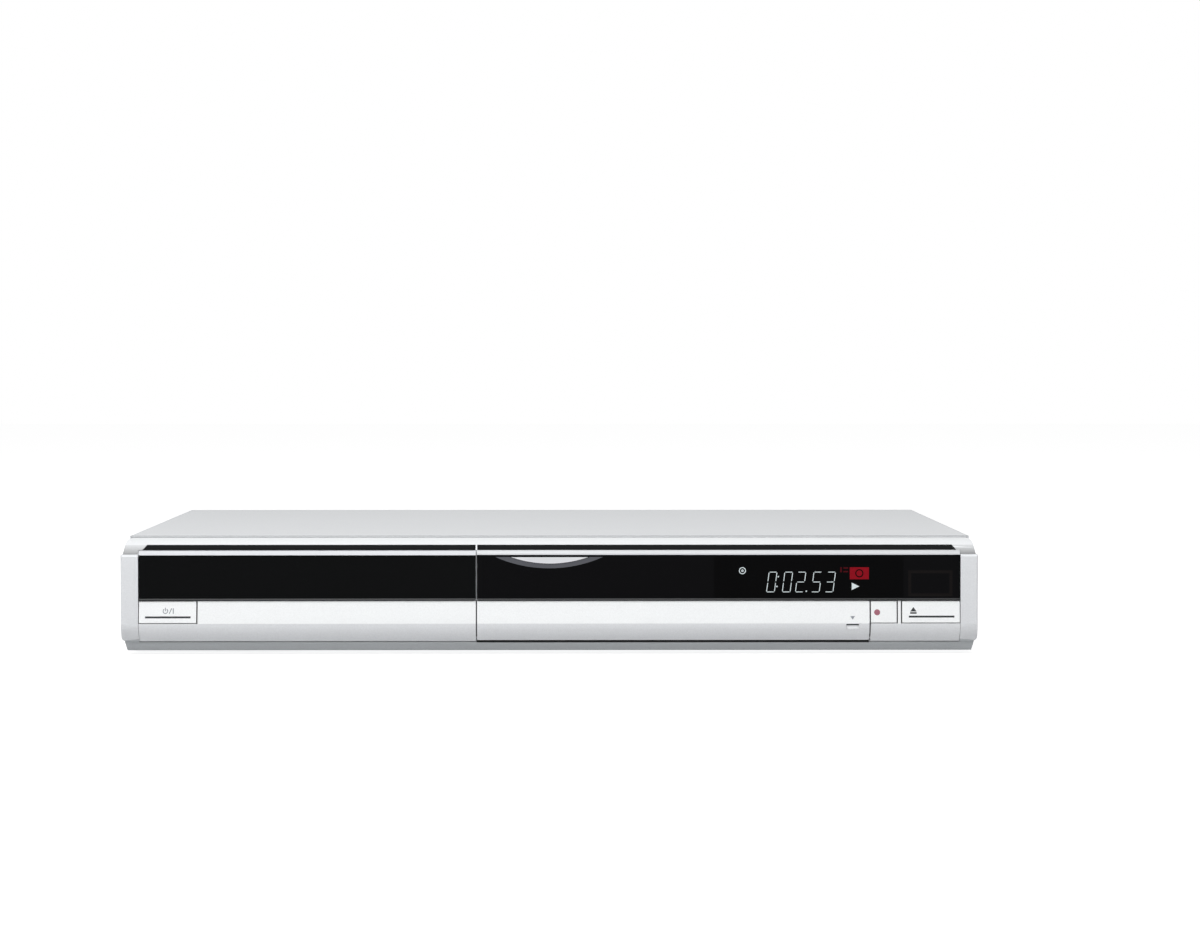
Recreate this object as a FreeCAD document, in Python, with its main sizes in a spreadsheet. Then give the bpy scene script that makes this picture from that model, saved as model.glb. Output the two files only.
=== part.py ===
import FreeCAD, Part

import math
import operator
import os
from types import SimpleNamespace

import Sketcher

# Disc recorder with a hard disk, in millimetres.
# +Z is up, the front faces -Y, and the origin is on the floor under the middle.
# Depths at the front are counted back from the foremost plane of the fascia.

os.makedirs("parts", exist_ok=True)
doc = FreeCAD.newDocument("disc_recorder")
Vector = FreeCAD.Vector

SIZES = {
    # whole recorder
    "overall_width": 430.0,
    "overall_depth": 340.0,
    "overall_height": 59.5,
    # shared walls and clearances
    "sheet_steel": 0.8,
    "moulded_wall": 2.2,
    "board_thickness": 1.6,
    "fit_gap": 0.15,
    "neck_step": 0.7,
    "slide_gap": 0.3,
    "button_gap": 0.3,
    "running_gap": 0.05,
    "press_travel": 0.8,
    # casing
    "cover_inset": 3.0,
    "cover_setback": 16.0,
    "rear_setback": 9.0,
    "cover_flange": 7.0,
    "chassis_lift": 4.0,
    "chassis_flange": 14.0,
    "vent_length": 26.0,
    "vent_width": 2.2,
    "vent_pitch": 6.0,
    "vent_count": 9.0,
    "foot_radius": 14.0,
    "foot_inset_side": 50.0,
    "foot_inset_end": 52.0,
    "foot_screw_radius": 4.2,
    "foot_screw_depth": 2.2,
    "foot_screw_length": 3.8,
    "screw_radius": 1.5,
    "screw_head_radius": 3.0,
    "screw_head_height": 1.9,
    "screw_length": 5.0,
    "side_screw_height": 17.0,
    "rear_screw_drop": 3.9,
    # fascia
    "fascia_depth": 20.0,
    "cap_width": 8.75,
    "cap_bottom": 7.0,
    "cap_top": 50.7,
    "cap_step": 1.0,
    "cap_edge_radius": 1.0,
    "cap_foot_radius": 2.0,
    "shoulder_depth": 14.0,
    "shoulder_ledge_depth": 1.4,
    "shoulder_ledge_height": 50.9,
    "shoulder_corner_radius": 3.2,
    "shoulder_lean": 0.9,
    "cover_rebate": 0.3,
    "plinth_bottom": 2.0,
    "plinth_top": 6.5,
    "plinth_face": 7.2,
    "plinth_toe": 11.0,
    "plinth_inset": 1.3,
    "plinth_taper": 0.9,
    "plinth_notch": 0.35,
    "carrier_low": 8.2,
    "carrier_high": 3.1,
    "inlay_bottom": 53.0,
    "inlay_top": 55.5,
    "inlay_depth": 1.0,
    "inlay_end_gap": 2.0,
    "inlay_end_slant": 2.2,
    "inlay_divider": 0.9,
    "strip_rise": 2.2,
    "strip_face": 0.2,
    # front panels
    "centre_seam": -36.8,
    "seam_gap": 0.6,
    "band_top": 27.5,
    "band_setback": 1.2,
    "crease_height": 16.2,
    "curve_foot": 6.0,
    "curve_radius": 14.0,
    "panel_wall": 1.5,
    "gloss_face": 0.9,
    "gloss_lip_face": 0.3,
    "gloss_lip_height": 28.8,
    "gloss_bottom": 27.8,
    "gloss_top": 50.5,
    "door_thickness": 1.9,
    "power_button_width": 29.0,
    "record_button_width": 13.0,
    "eject_button_width": 29.2,
    "button_divider": 2.7,
    "key_seam": 0.6,
    "stem_width": 8.0,
    "stem_height": 5.0,
    "key_radius": 1.7,
    "key_height": 3.0,
    # flap and what lies behind it
    "flap_seam": 0.6,
    "flap_foot": 7.5,
    "hinge_depth": 5.9,
    "hinge_height": 8.9,
    "hinge_pin_radius": 0.7,
    "hinge_pin_length": 1.8,
    "hinge_barrel_radius": 1.4,
    "hinge_barrel_length": 4.0,
    "notch_width": 6.3,
    "notch_inset": 5.4,
    "notch_height": 2.4,
    "notch_drop": 0.4,
    "notch_depth": 1.0,
    "bay_margin": 3.0,
    "bay_bottom": 11.6,
    "bay_top": 25.6,
    "bay_floor": 14.0,
    "bay_wall": 1.5,
    "socket_height": 18.6,
    "rca_radius": 4.15,
    "rca_bore": 1.7,
    "rca_length": 8.5,
    "rca_pitch": 14.0,
    "svideo_radius": 5.0,
    "svideo_bore": 4.1,
    "dv_width": 6.6,
    "dv_height": 4.4,
    "small_button_width": 9.0,
    "small_button_height": 5.0,
    "small_button_pitch": 15.0,
    "small_button_proud": 2.6,
    # display
    "tube_inset": 28.1,
    "tube_width": 98.0,
    "tube_bottom": 31.0,
    "tube_height": 17.0,
    "tube_depth": 8.0,
    "sensor_inset": 15.2,
    "sensor_height": 40.5,
    "sensor_size": 9.0,
    "sensor_window_width": 22.0,
    "sensor_window_height": 12.0,
    "front_board_depth": 17.5,
    "front_board_bottom": 9.0,
    "front_board_top": 50.0,
    "disc_edge_radius": 60.0,
    "disc_edge_low": 46.3,
    "disc_edge_high": 49.5,
    # disc drive
    "drive_front": 23.0,
    "drive_length": 187.0,
    "drive_bottom": 8.0,
    "drive_top": 48.0,
    "rail_width": 6.4,
    "rail_side_gap": 0.7,
    "rail_wall_gap": 0.6,
    "rail_top": 42.0,
    "rail_groove": 1.7,
    "tray_rim": 4.7,
    "tray_flange": 2.0,
    "tray_flange_height": 2.0,
    "tray_underside": 34.0,
    "tray_deck": 38.5,
    "tray_tail": 195.0,
    "tray_travel": 135.0,
    "disc_place": 72.0,
    "disc_well_radius": 60.8,
    "disc_well_depth": 2.0,
    "small_well_radius": 40.6,
    "small_well_depth": 3.0,
    "tray_slot_width": 36.0,
    "tray_opening_margin": 2.4,
    "tray_opening_bottom": 29.2,
    "tray_opening_top": 44.0,
    "rack_inset": 7.5,
    "rack_body": 4.0,
    "rack_underside": 30.0,
    "gear_row": 38.0,
    "rack_module": 1.0,
    "rack_gear_teeth": 24.0,
    "train_module": 0.75,
    "train_gear_teeth": 36.0,
    "pinion_teeth": 12.0,
    "tooth_backlash": 0.16,
    "gear_post_radius": 1.5,
    "gear_plate_top": 24.0,
    "gear_plate_thickness": 2.0,
    "pulley_radius": 13.0,
    "pulley_height": 2.6,
    "pulley_flange": 0.9,
    "motor_pulley_radius": 4.0,
    "belt_run": 38.0,
    "belt_thickness": 1.0,
    "belt_height": 1.2,
    "loading_motor_radius": 10.0,
    "loading_motor_height": 12.0,
    "motor_shaft_radius": 0.75,
    # traverse
    "traverse_half_width": 40.0,
    "traverse_front": 54.0,
    "traverse_hinge": 184.0,
    "traverse_floor": 20.0,
    "traverse_plate": 2.4,
    "traverse_drop": 3.5,
    "cam_pin_radius": 1.5,
    "cam_pin_offset": 20.0,
    "cam_travel": 18.0,
    "cam_thickness": 2.0,
    "spindle_motor_radius": 12.0,
    "spindle_motor_height": 10.5,
    "spindle_shaft_radius": 1.0,
    "turntable_radius": 14.5,
    "turntable_bottom": 34.6,
    "turntable_top": 37.8,
    "hub_radius": 7.3,
    "hub_height": 1.9,
    "pickup_near": 24.0,
    "pickup_travel": 34.0,
    "pickup_width": 46.0,
    "pickup_length": 30.0,
    "pickup_bottom": 23.4,
    "pickup_top": 32.6,
    "lens_radius": 3.0,
    "lens_top": 36.2,
    "rod_radius": 1.5,
    "rod_offset": 28.0,
    "rod_height": 26.4,
    "sled_screw_offset": 35.0,
    "sled_screw_radius": 1.6,
    "sled_motor_radius": 5.0,
    "sled_motor_length": 14.0,
    "clamp_radius": 13.0,
    "clamp_bottom": 40.2,
    "clamp_neck_radius": 8.0,
    "clamp_flange_radius": 16.5,
    "clamp_flange_height": 1.6,
    "clamp_hole_radius": 14.0,
    # hard disk
    "disk_rear_gap": 41.0,
    "disk_width": 101.6,
    "disk_length": 147.0,
    "disk_height": 26.1,
    "disk_bottom": 13.0,
    "disk_board_drop": 1.6,
    "bracket_foot": 10.0,
    # boards and rear sockets
    "standoff": 6.0,
    "standoff_radius": 3.0,
    "main_board_length": 67.9,
    "main_board_gap": 12.0,
    "main_board_reach": 22.0,
    "supply_width": 107.0,
    "supply_length": 235.0,
    "supply_side_gap": 8.2,
    "supply_rear_gap": 15.2,
    "transformer_width": 34.0,
    "transformer_length": 30.0,
    "transformer_height": 26.0,
    "capacitor_radius": 9.0,
    "capacitor_height": 30.0,
    "tuner_side_gap": 17.2,
    "tuner_width": 52.0,
    "tuner_length": 62.0,
    "tuner_height": 24.0,
    "aerial_radius": 4.8,
    "aerial_bore": 2.6,
    "aerial_pitch": 24.0,
    "scart_gap": 22.5,
    "scart_width": 47.0,
    "scart_height": 15.0,
    "scart_slot_width": 41.0,
    "scart_slot_height": 9.0,
    "scart_depth": 14.0,
    "scart_proud": 5.0,
    "scart_pitch": 20.0,
    "rear_rca_gap": 24.5,
    "hdmi_width": 15.0,
    "hdmi_height": 5.6,
    "optical_pitch": 22.0,
    "inlet_inset": 27.0,
    "inlet_height": 20.0,
    "inlet_width": 22.0,
    "inlet_tall": 12.0,
    "inlet_depth": 14.0,
    "inlet_pin_radius": 1.2,
    "inlet_pin_pitch": 8.6,
    "fan_inset": 16.0,
    "fan_gap": 1.95,
    "fan_depth": 10.0,
    "fan_hub_radius": 12.0,
    "fan_blade_count": 7.0,
    "fan_blade_pitch": 35.0,
    "ribbon_width": 48.0,
    "ribbon_thickness": 1.0,
}

sheet = doc.addObject("Spreadsheet::Sheet", "sizes")
for row, (alias, number) in enumerate(SIZES.items(), start=1):
    sheet.set("A%d" % row, alias)
    sheet.set("B%d" % row, str(number))
    sheet.setAlias("B%d" % row, alias)
doc.recompute()


class Size:
    """A length, with its value and the rule that gives it from the sheet."""

    def __init__(self, value, rule=None):
        self.value = float(value)
        self.rule = rule or "%r" % float(value)

    def __add__(self, other):
        return joined(self, "+", other)

    def __radd__(self, other):
        return joined(other, "+", self)

    def __sub__(self, other):
        return joined(self, "-", other)

    def __rsub__(self, other):
        return joined(other, "-", self)

    def __mul__(self, other):
        return joined(self, "*", other)

    def __rmul__(self, other):
        return joined(other, "*", self)

    def __truediv__(self, other):
        return joined(self, "/", other)

    def __neg__(self):
        return joined(0.0, "-", self)

    def __float__(self):
        return self.value


OPERATIONS = {"+": operator.add, "-": operator.sub, "*": operator.mul, "/": operator.truediv}


def as_size(thing):
    """A size as it is, or a bare number as a size of its own."""
    return thing if isinstance(thing, Size) else Size(thing)


def joined(left, sign, right):
    """Two sizes joined by a sign, both in value and in rule."""
    left = as_size(left)
    right = as_size(right)
    value = OPERATIONS[sign](left.value, right.value)
    return Size(value, "(%s %s %s)" % (left.rule, sign, right.rule))


def root(size):
    """A size's square root."""
    return Size(math.sqrt(size.value), "sqrt(%s)" % size.rule)


def smaller(left, right):
    """The smaller of two sizes."""
    left = as_size(left)
    right = as_size(right)
    return Size(min(left.value, right.value), "min(%s; %s)" % (left.rule, right.rule))


# How far a cutting solid reaches past what it cuts, and when two places count as the same
OVER = 1.0
NEAR = 0.01
# Gears: flank angle, and the tooth's height over and under its pitch line, in modules
PRESSURE_ANGLE = math.radians(20)
TOOTH_TIP = 0.95
TOOTH_ROOT = 1.25
FLANK_STEPS = 5
FULL_TURN = 360.0

v = SimpleNamespace(**{alias: Size(sheet.get(alias), "sizes." + alias) for alias in SIZES})
places = doc.addObject("App::VarSet", "places")


def place(name, size):
    """Keeps a worked-out position under a name of its own, which keeps later rules short."""
    places.addProperty("App::PropertyFloat", name)
    places.setExpression(name, size.rule)
    return Size(size.value, "places." + name)


def bind(thing, path, size):
    """Ties a property of a thing to a size's rule."""
    size = as_size(size)
    thing.setExpression(path, size.rule)


# Part primitives and booleans

nodes = []
AXES = {
    "x": FreeCAD.Rotation(Vector(0, 1, 0), 90),
    "y": FreeCAD.Rotation(Vector(1, 0, 0), -90),
    "z": FreeCAD.Rotation(),
}


def label(name):
    """A name in the form that the document takes."""
    return name.replace(" ", "_")


def span(name, x, y, z):
    """A box between two places along each axis."""
    box = doc.addObject("Part::Box", label(name))
    for axis, side, (low, high) in zip("xyz", ("Length", "Width", "Height"), (x, y, z)):
        bind(box, side, as_size(high) - low)
        bind(box, "Placement.Base." + axis, low)
    return box


def put_round(solid, axis, centre, start):
    """Sets a round solid along an axis, at its centre in the other two axes' order."""
    solid.Placement = FreeCAD.Placement(Vector(), AXES[axis])
    across = [letter for letter in "xyz" if letter != axis]
    bind(solid, "Placement.Base." + axis, start)
    for letter, middle in zip(across, centre):
        bind(solid, "Placement.Base." + letter, middle)


def rod(name, axis, centre, ends, radius):
    """A cylinder along an axis, with its centre in the other two axes' order."""
    solid = doc.addObject("Part::Cylinder", label(name))
    bind(solid, "Radius", radius)
    bind(solid, "Height", as_size(ends[1]) - ends[0])
    put_round(solid, axis, centre, ends[0])
    return solid


def taper(name, axis, centre, ends, radii):
    """A cone's frustum along an axis."""
    solid = doc.addObject("Part::Cone", label(name))
    bind(solid, "Radius1", radii[0])
    bind(solid, "Radius2", radii[1])
    bind(solid, "Height", as_size(ends[1]) - ends[0])
    put_round(solid, axis, centre, ends[0])
    return solid


def fuse(name, *solids):
    """Several solids as one."""
    if len(solids) == 1:
        return solids[0]
    result = doc.addObject("Part::MultiFuse", label(name))
    result.Shapes = list(solids)
    result.Refine = True
    return result


def cut(name, base, *tools):
    """A base less its tools."""
    result = doc.addObject("Part::Cut", label(name))
    result.Base = base
    result.Tool = fuse(name + " tools", *tools)
    result.Refine = True
    return result


def common(name, *solids):
    """What several solids share."""
    result = doc.addObject("Part::MultiCommon", label(name))
    result.Shapes = list(solids)
    result.Refine = True
    return result


def tube(name, axis, centre, ends, outer, bore):
    """A round sleeve: a rod with a bore through it."""
    return cut(
        name,
        rod(name + " outside", axis, centre, ends, outer),
        rod(name + " bore", axis, centre, (as_size(ends[0]) - OVER, as_size(ends[1]) + OVER), bore),
    )


def hollow(name, x, y, z, wall, open_side):
    """A box with one open side, such as a tub or a socket's shell."""
    inside = {
        "x": [x[0] + wall, x[1] - wall],
        "y": [y[0] + wall, y[1] - wall],
        "z": [z[0] + wall, z[1] - wall],
    }
    axis = open_side[1]
    outer = {"x": x, "y": y, "z": z}[axis]
    if open_side[0] == "-":
        inside[axis][0] = outer[0] - OVER
    else:
        inside[axis][1] = outer[1] + OVER
    return cut(
        name,
        span(name + " outside", x, y, z),
        span(name + " inside", inside["x"], inside["y"], inside["z"]),
    )


def group(name, solids):
    """Several separate solids that share one node."""
    result = doc.addObject("Part::Compound", label(name))
    result.Links = list(solids)
    return result


def keep(name, thing):
    """Names a finished sub-part, which is also its file's name."""
    thing.Label = name
    nodes.append(thing)
    return thing


# Sketches, bodies and their features

PLANES = {"xy": "XY_Plane", "xz": "XZ_Plane", "yz": "YZ_Plane"}


def draw(sketch, points):
    """A closed outline, each point (u, v) or (u, v, radius, side) after an arc from the last."""
    count = len(points)
    rules = []
    for index in range(count):
        start = points[index]
        end = points[(index + 1) % count]
        first = Vector(float(start[0]), float(start[1]), 0)
        last = Vector(float(end[0]), float(end[1]), 0)
        if len(end) == 2:
            sketch.addGeometry(Part.LineSegment(first, last))
            rules.append(("line", None))
        else:
            middle = bulge(first, last, float(end[2]), end[3])
            sketch.addGeometry(Part.Arc(first, middle, last))
            rules.append(("arc", end[2]))
    base = sketch.GeometryCount - count
    starts = []
    for index in range(count):
        turned = rules[index][0] == "arc" and points[(index + 1) % count][3] < 0
        starts.append(2 if turned else 1)
    links = []
    for index in range(count):
        after = (index + 1) % count
        links.append(Sketcher.Constraint(
            "Coincident", base + index, 3 - starts[index], base + after, starts[after]))
    sketch.addConstraint(links)
    for index in range(count):
        for axis, size in (("DistanceX", points[index][0]), ("DistanceY", points[index][1])):
            size = as_size(size)
            number = sketch.addConstraint(Sketcher.Constraint(
                axis, -1, 1, base + index, starts[index], size.value))
            sketch.setExpression("Constraints[%d]" % number, size.rule)
        kind, radius = rules[index]
        if kind == "arc":
            radius = as_size(radius)
            number = sketch.addConstraint(Sketcher.Constraint("Radius", base + index, radius.value))
            sketch.setExpression("Constraints[%d]" % number, radius.rule)


def bulge(first, last, radius, side):
    """The middle of an arc that bulges to the right of its chord for side 1, else to the left."""
    chord = last - first
    half = chord.Length / 2
    height = radius - math.sqrt(radius * radius - half * half)
    across = Vector(chord.y, -chord.x, 0).normalize()
    return (first + last) * 0.5 + across * (height * side)


def sketch_on(body, name, plane, offset, points):
    """A sketch of an outline on a plane of a body, at an offset."""
    sketch = body.newObject("Sketcher::SketchObject", label(name))
    origin = [item for item in body.Origin.OriginFeatures if item.Role == PLANES[plane]][0]
    sketch.AttachmentSupport = [(origin, "")]
    sketch.MapMode = "FlatFace"
    bind(sketch, "AttachmentOffset.Base.z", offset)
    draw(sketch, points)
    return sketch


def start_of(plane, ends):
    """The sketch's offset from which a pad reaches the other end, along its plane's normal."""
    return -as_size(ends[1]) if plane == "xz" else as_size(ends[0])


def pad(body, name, plane, points, ends):
    """A pad of an outline between two places along its plane's normal."""
    feature = body.newObject("PartDesign::Pad", label(name + " pad"))
    feature.Profile = sketch_on(body, name + " sketch", plane, start_of(plane, ends), points)
    bind(feature, "Length", as_size(ends[1]) - ends[0])
    return feature


def pocket(body, name, plane, points, ends):
    """A pocket between two places, cut along the plane's normal."""
    feature = body.newObject("PartDesign::Pocket", label(name + " pocket"))
    feature.Profile = sketch_on(body, name + " sketch", plane, start_of(plane, ends), points)
    feature.Reversed = True
    bind(feature, "Length", as_size(ends[1]) - ends[0])
    return feature


def rectangle(u, w):
    """The corners of a rectangle between two places each way."""
    return [(u[0], w[0]), (u[1], w[0]), (u[1], w[1]), (u[0], w[1])]


def new_body(name):
    """An empty body."""
    return doc.addObject("PartDesign::Body", label(name))


def prism(name, plane, points, ends):
    """A body with one outline padded between two places."""
    body = new_body(name)
    pad(body, name, plane, points, ends)
    return body


def round_edges(body, name, radius, chosen):
    """Rounds the edges of the body's tip that the test chooses."""
    doc.recompute()
    tip = body.Tip
    names = ["Edge%d" % (number + 1) for number, edge in enumerate(tip.Shape.Edges) if chosen(edge)]
    feature = body.newObject("PartDesign::Fillet", label(name))
    feature.Base = (tip, names)
    bind(feature, "Radius", radius)
    return feature


def near(left, right):
    """Tells whether two lengths are the same."""
    return abs(float(left) - float(right)) < NEAR


# Shared places

half_width = v.overall_width / 2
front = place("front", -v.overall_depth / 2)
back = place("back", v.overall_depth / 2)
cover_side = place("cover_side", half_width - v.cover_inset)
cover_inner = place("cover_inner", cover_side - v.sheet_steel)
cover_top = v.overall_height
shoulder_top = place("shoulder_top", v.overall_height - v.sheet_steel)
rear_face = place("rear_face", back - v.rear_setback)
rear_inner = place("rear_inner", rear_face - v.sheet_steel)
plug_seat = place("plug_seat", rear_face + v.slide_gap)
cover_front = place("cover_front", front + v.cover_setback)
fascia_rear = place("fascia_rear", front + v.fascia_depth)
chassis_bottom = v.chassis_lift
chassis_floor = place("chassis_floor", v.chassis_lift + v.sheet_steel)
cap_inner = place("cap_inner", half_width - v.cap_width)
carrier_low = place("carrier_low_y", front + v.carrier_low)
carrier_high = place("carrier_high_y", front + v.carrier_high)
carrier_low_back = place("carrier_low_back", carrier_low + v.moulded_wall)
carrier_high_back = place("carrier_high_back", carrier_high + v.moulded_wall)

seam_left = place("seam_left", v.centre_seam - v.seam_gap / 2)
seam_right = place("seam_right", v.centre_seam + v.seam_gap / 2)
door_left = place("door_left", -cap_inner + v.slide_gap)
drive_x = place("drive_x", (door_left + seam_left) / 2)
tray_half = place("tray_half", v.disc_well_radius + v.tray_rim)
rail_inner = place("rail_inner", tray_half + v.rail_side_gap)
rail_outer = place("rail_outer", rail_inner + v.rail_width)
drive_half = place("drive_half", rail_outer + v.rail_wall_gap + v.sheet_steel)
flap_left = seam_right
panel_right = place("panel_right", cap_inner - v.fit_gap)
panel_left = place("panel_left", -cap_inner + v.fit_gap)
eject_left = place("eject_left", panel_right - v.eject_button_width)
record_left = place("record_left", eject_left - v.button_divider - v.record_button_width)
record_right = place("record_right", record_left + v.record_button_width)
right_panel_left = record_left
flap_right = place("flap_right", right_panel_left - v.flap_seam)
power_right = place("power_right", panel_left + v.power_button_width)

tube_left = place("tube_left", panel_right - v.tube_inset - v.tube_width)
sensor_x = place("sensor_x", panel_right - v.sensor_inset)

shoulder_rise = shoulder_top - v.shoulder_ledge_height
shoulder_run = v.shoulder_depth - v.shoulder_ledge_depth
shoulder_radius = place("shoulder_radius", (
    shoulder_run * shoulder_run + shoulder_rise * shoulder_rise) / (2 * shoulder_rise))
shoulder_axis_y = place("shoulder_axis_y", front + v.shoulder_depth)
shoulder_axis_z = place("shoulder_axis_z", shoulder_top - shoulder_radius)


def shoulder_y(height):
    """Where the shoulder's round face lies at a height."""
    rise = height - shoulder_axis_z
    return shoulder_axis_y - root(shoulder_radius * shoulder_radius - rise * rise)


chord_run = v.curve_foot
chord_rise = v.crease_height - v.cap_bottom
chord_half = root(chord_run * chord_run + chord_rise * chord_rise) / 2
chord_reach = root(v.curve_radius * v.curve_radius - chord_half * chord_half)
curve_axis_y = place("curve_axis_y", front + v.curve_foot / 2
                     + chord_reach * chord_rise / (2 * chord_half))
curve_axis_z = place("curve_axis_z", (v.crease_height + v.cap_bottom) / 2
                     + chord_reach * chord_run / (2 * chord_half))
curve_inner_radius = place("curve_inner_radius", v.curve_radius - v.panel_wall)


def curve_y(radius, height):
    """Where a face of the curved lower panel lies at a height."""
    drop = curve_axis_z - height
    return curve_axis_y - root(radius * radius - drop * drop)


# Fascia and the panels fixed to it

def make_front_fascia():
    """The moulded frame of the front: plinth, carrier walls, shoulder and end caps."""
    wall = v.moulded_wall
    inner_half = cap_inner - wall
    body = new_body("fascia middle")
    pad(body, "carrier", "yz", [
        (fascia_rear, v.plinth_bottom),
        (front + v.plinth_toe, v.plinth_bottom),
        (front + v.plinth_face, v.plinth_top),
        (carrier_low, v.plinth_top),
        (carrier_low, v.band_top),
        (carrier_high, v.band_top),
        (carrier_high, v.inlay_bottom),
        (shoulder_y(v.inlay_bottom), v.inlay_bottom),
        (shoulder_axis_y, shoulder_top, shoulder_radius, -1),
        (cover_front - v.slide_gap, shoulder_top),
        (cover_front - v.slide_gap, shoulder_top - v.cover_rebate),
        (fascia_rear, shoulder_top - v.cover_rebate),
    ], (-cap_inner, cap_inner))
    pocket(body, "rear hollow", "yz", [
        (fascia_rear + OVER, v.plinth_bottom + wall),
        (carrier_low_back, v.plinth_bottom + wall),
        (carrier_low_back, v.band_top + wall),
        (carrier_high_back, v.band_top + wall),
        (carrier_high_back, v.inlay_bottom - v.cap_step),
        (shoulder_axis_y, shoulder_top - v.cover_rebate - wall),
        (fascia_rear + OVER, shoulder_top - v.cover_rebate - wall),
    ], (-inner_half, inner_half))
    strip = prism("upper strip", "yz", [
        (front + v.strip_face, v.cap_top),
        (front + v.strip_face + v.strip_rise, v.cap_top + v.strip_rise),
        (front + v.strip_face + v.strip_rise, v.inlay_bottom),
        (carrier_high, v.inlay_bottom),
        (carrier_high, v.cap_top),
    ], (seam_right, cap_inner - v.slide_gap))
    plinth_rear = cover_front - v.slide_gap
    plinth_outline = [
        (plinth_rear, v.plinth_bottom),
        (front + v.plinth_toe, v.plinth_bottom),
        (front + v.plinth_face, v.plinth_top),
        (front + v.plinth_face, v.cap_bottom),
        (plinth_rear, v.cap_bottom),
    ]
    pieces = [body, strip]
    for side in (-1, 1):
        ends = (-half_width, -cap_inner) if side < 0 else (cap_inner, half_width)
        stepped = half_width - v.cap_step
        upper = (-stepped, -cap_inner) if side < 0 else (cap_inner, stepped)
        pieces.append(end_cap("end cap %d" % (side + 2), ends, side))
        pieces.append(cap_shoulder("cap shoulder %d" % (side + 2), upper, side))
        pieces.append(plinth_end("plinth end %d" % (side + 2), plinth_outline, side))
    whole = fuse("fascia whole", *pieces)
    return keep("front_fascia", cut("fascia", whole, *fascia_openings()))


def plinth_end(name, section, side):
    """The plinth under an end cap, which narrows towards its foot."""
    outer = half_width - v.plinth_inset
    foot = outer - v.plinth_taper
    front_view = [
        (cap_inner * side, v.plinth_bottom),
        (foot * side, v.plinth_bottom),
        (outer * side, v.plinth_top),
        (outer * side, v.cap_bottom),
        (cap_inner * side, v.cap_bottom),
    ]
    reach = (-half_width, -cap_inner) if side < 0 else (cap_inner, half_width)
    return common(name, prism(name + " section", "yz", section, reach),
                  prism(name + " front view", "xz", front_view, (front, cover_front)))


def end_cap(name, ends, side):
    """The proud block at one end of the front, with eased edges."""
    body = new_body(name)
    pad(body, name, "xz", rectangle(ends, (v.cap_bottom, v.cap_top)), (front, cover_front - v.slide_gap))
    outer = ends[0] if side < 0 else ends[1]

    def eased(edge):
        middle = edge.BoundBox.Center
        if not near(middle.y, front):
            return False
        return near(middle.z, v.cap_top) or near(middle.x, outer)

    round_edges(body, name + " eased", smaller(v.cap_edge_radius, v.cap_width / 3), eased)
    rear = prism(name + " rear", "xz", rectangle(
        (-cover_inner + v.slide_gap, -cap_inner) if side < 0 else (cap_inner, cover_inner - v.slide_gap),
        (v.cap_bottom, v.cap_top)), (cover_front - v.slide_gap, fascia_rear))
    deepest = cover_inner - v.moulded_wall
    inside = span(
        name + " inside",
        (-deepest, -cap_inner) if side < 0 else (cap_inner, deepest),
        (front + v.moulded_wall, fascia_rear + OVER),
        (v.crease_height, v.cap_top - v.moulded_wall))
    return cut(name + " shell", fuse(name + " block", cap_foot(name, body, side), rear), inside)


def cap_foot(name, block, side):
    """An end cap's block, curved back below the crease and rounded at its outer foot."""
    behind = cover_front - v.slide_gap
    section = prism(name + " section", "yz", [
        (behind, v.cap_bottom),
        (curve_y(v.curve_radius, v.cap_bottom), v.cap_bottom),
        (front, v.crease_height, v.curve_radius, -1),
        (front, v.cap_top),
        (behind, v.cap_top),
    ], (-half_width, -cap_inner) if side < 0 else (cap_inner, half_width))
    radius = v.cap_foot_radius
    if side > 0:
        outline = [(cap_inner, v.cap_bottom), (half_width - radius, v.cap_bottom),
                   (half_width, v.cap_bottom + radius, radius, 1), (half_width, v.cap_top),
                   (cap_inner, v.cap_top)]
    else:
        outline = [(-cap_inner, v.cap_bottom), (-cap_inner, v.cap_top), (-half_width, v.cap_top),
                   (-half_width, v.cap_bottom + radius),
                   (-half_width + radius, v.cap_bottom, radius, 1)]
    return common(name + " curved", block, section,
                  prism(name + " front view", "xz", outline, (front, cover_front)))


def cap_shoulder(name, ends, side):
    """The shoulder over an end cap, leaning in, with its outer top corner rounded."""
    bottom = v.cap_top
    ledge = shoulder_y(v.shoulder_ledge_height)
    profile = prism(name + " profile", "yz", [
        (ledge, bottom),
        (ledge, v.shoulder_ledge_height),
        (shoulder_axis_y, shoulder_top, shoulder_radius, -1),
        (cover_front - v.slide_gap, shoulder_top),
        (cover_front - v.slide_gap, bottom),
    ], ends)
    corner = smaller(v.shoulder_corner_radius, shoulder_rise / 2)
    if side > 0:
        upper = ends[1] - v.shoulder_lean
        outline = [(ends[0], bottom), (ends[1], bottom), (upper, shoulder_top - corner),
                   (upper - corner, shoulder_top, corner, 1), (ends[0], shoulder_top)]
    else:
        upper = ends[0] + v.shoulder_lean
        outline = [(ends[0], bottom), (ends[1], bottom), (ends[1], shoulder_top),
                   (upper + corner, shoulder_top), (upper, shoulder_top - corner, corner, 1)]
    corner_block = prism(name + " corner", "xz", outline, (front, cover_front))
    rear = prism(name + " rear", "xz", rectangle(
        (-cover_inner + v.slide_gap, -cap_inner) if side < 0 else (cap_inner, cover_inner - v.slide_gap),
        (bottom, shoulder_top - v.cover_rebate)), (cover_front - v.slide_gap, fascia_rear))
    return fuse(name + " block", common(name + " rounded", profile, corner_block), rear)


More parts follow.
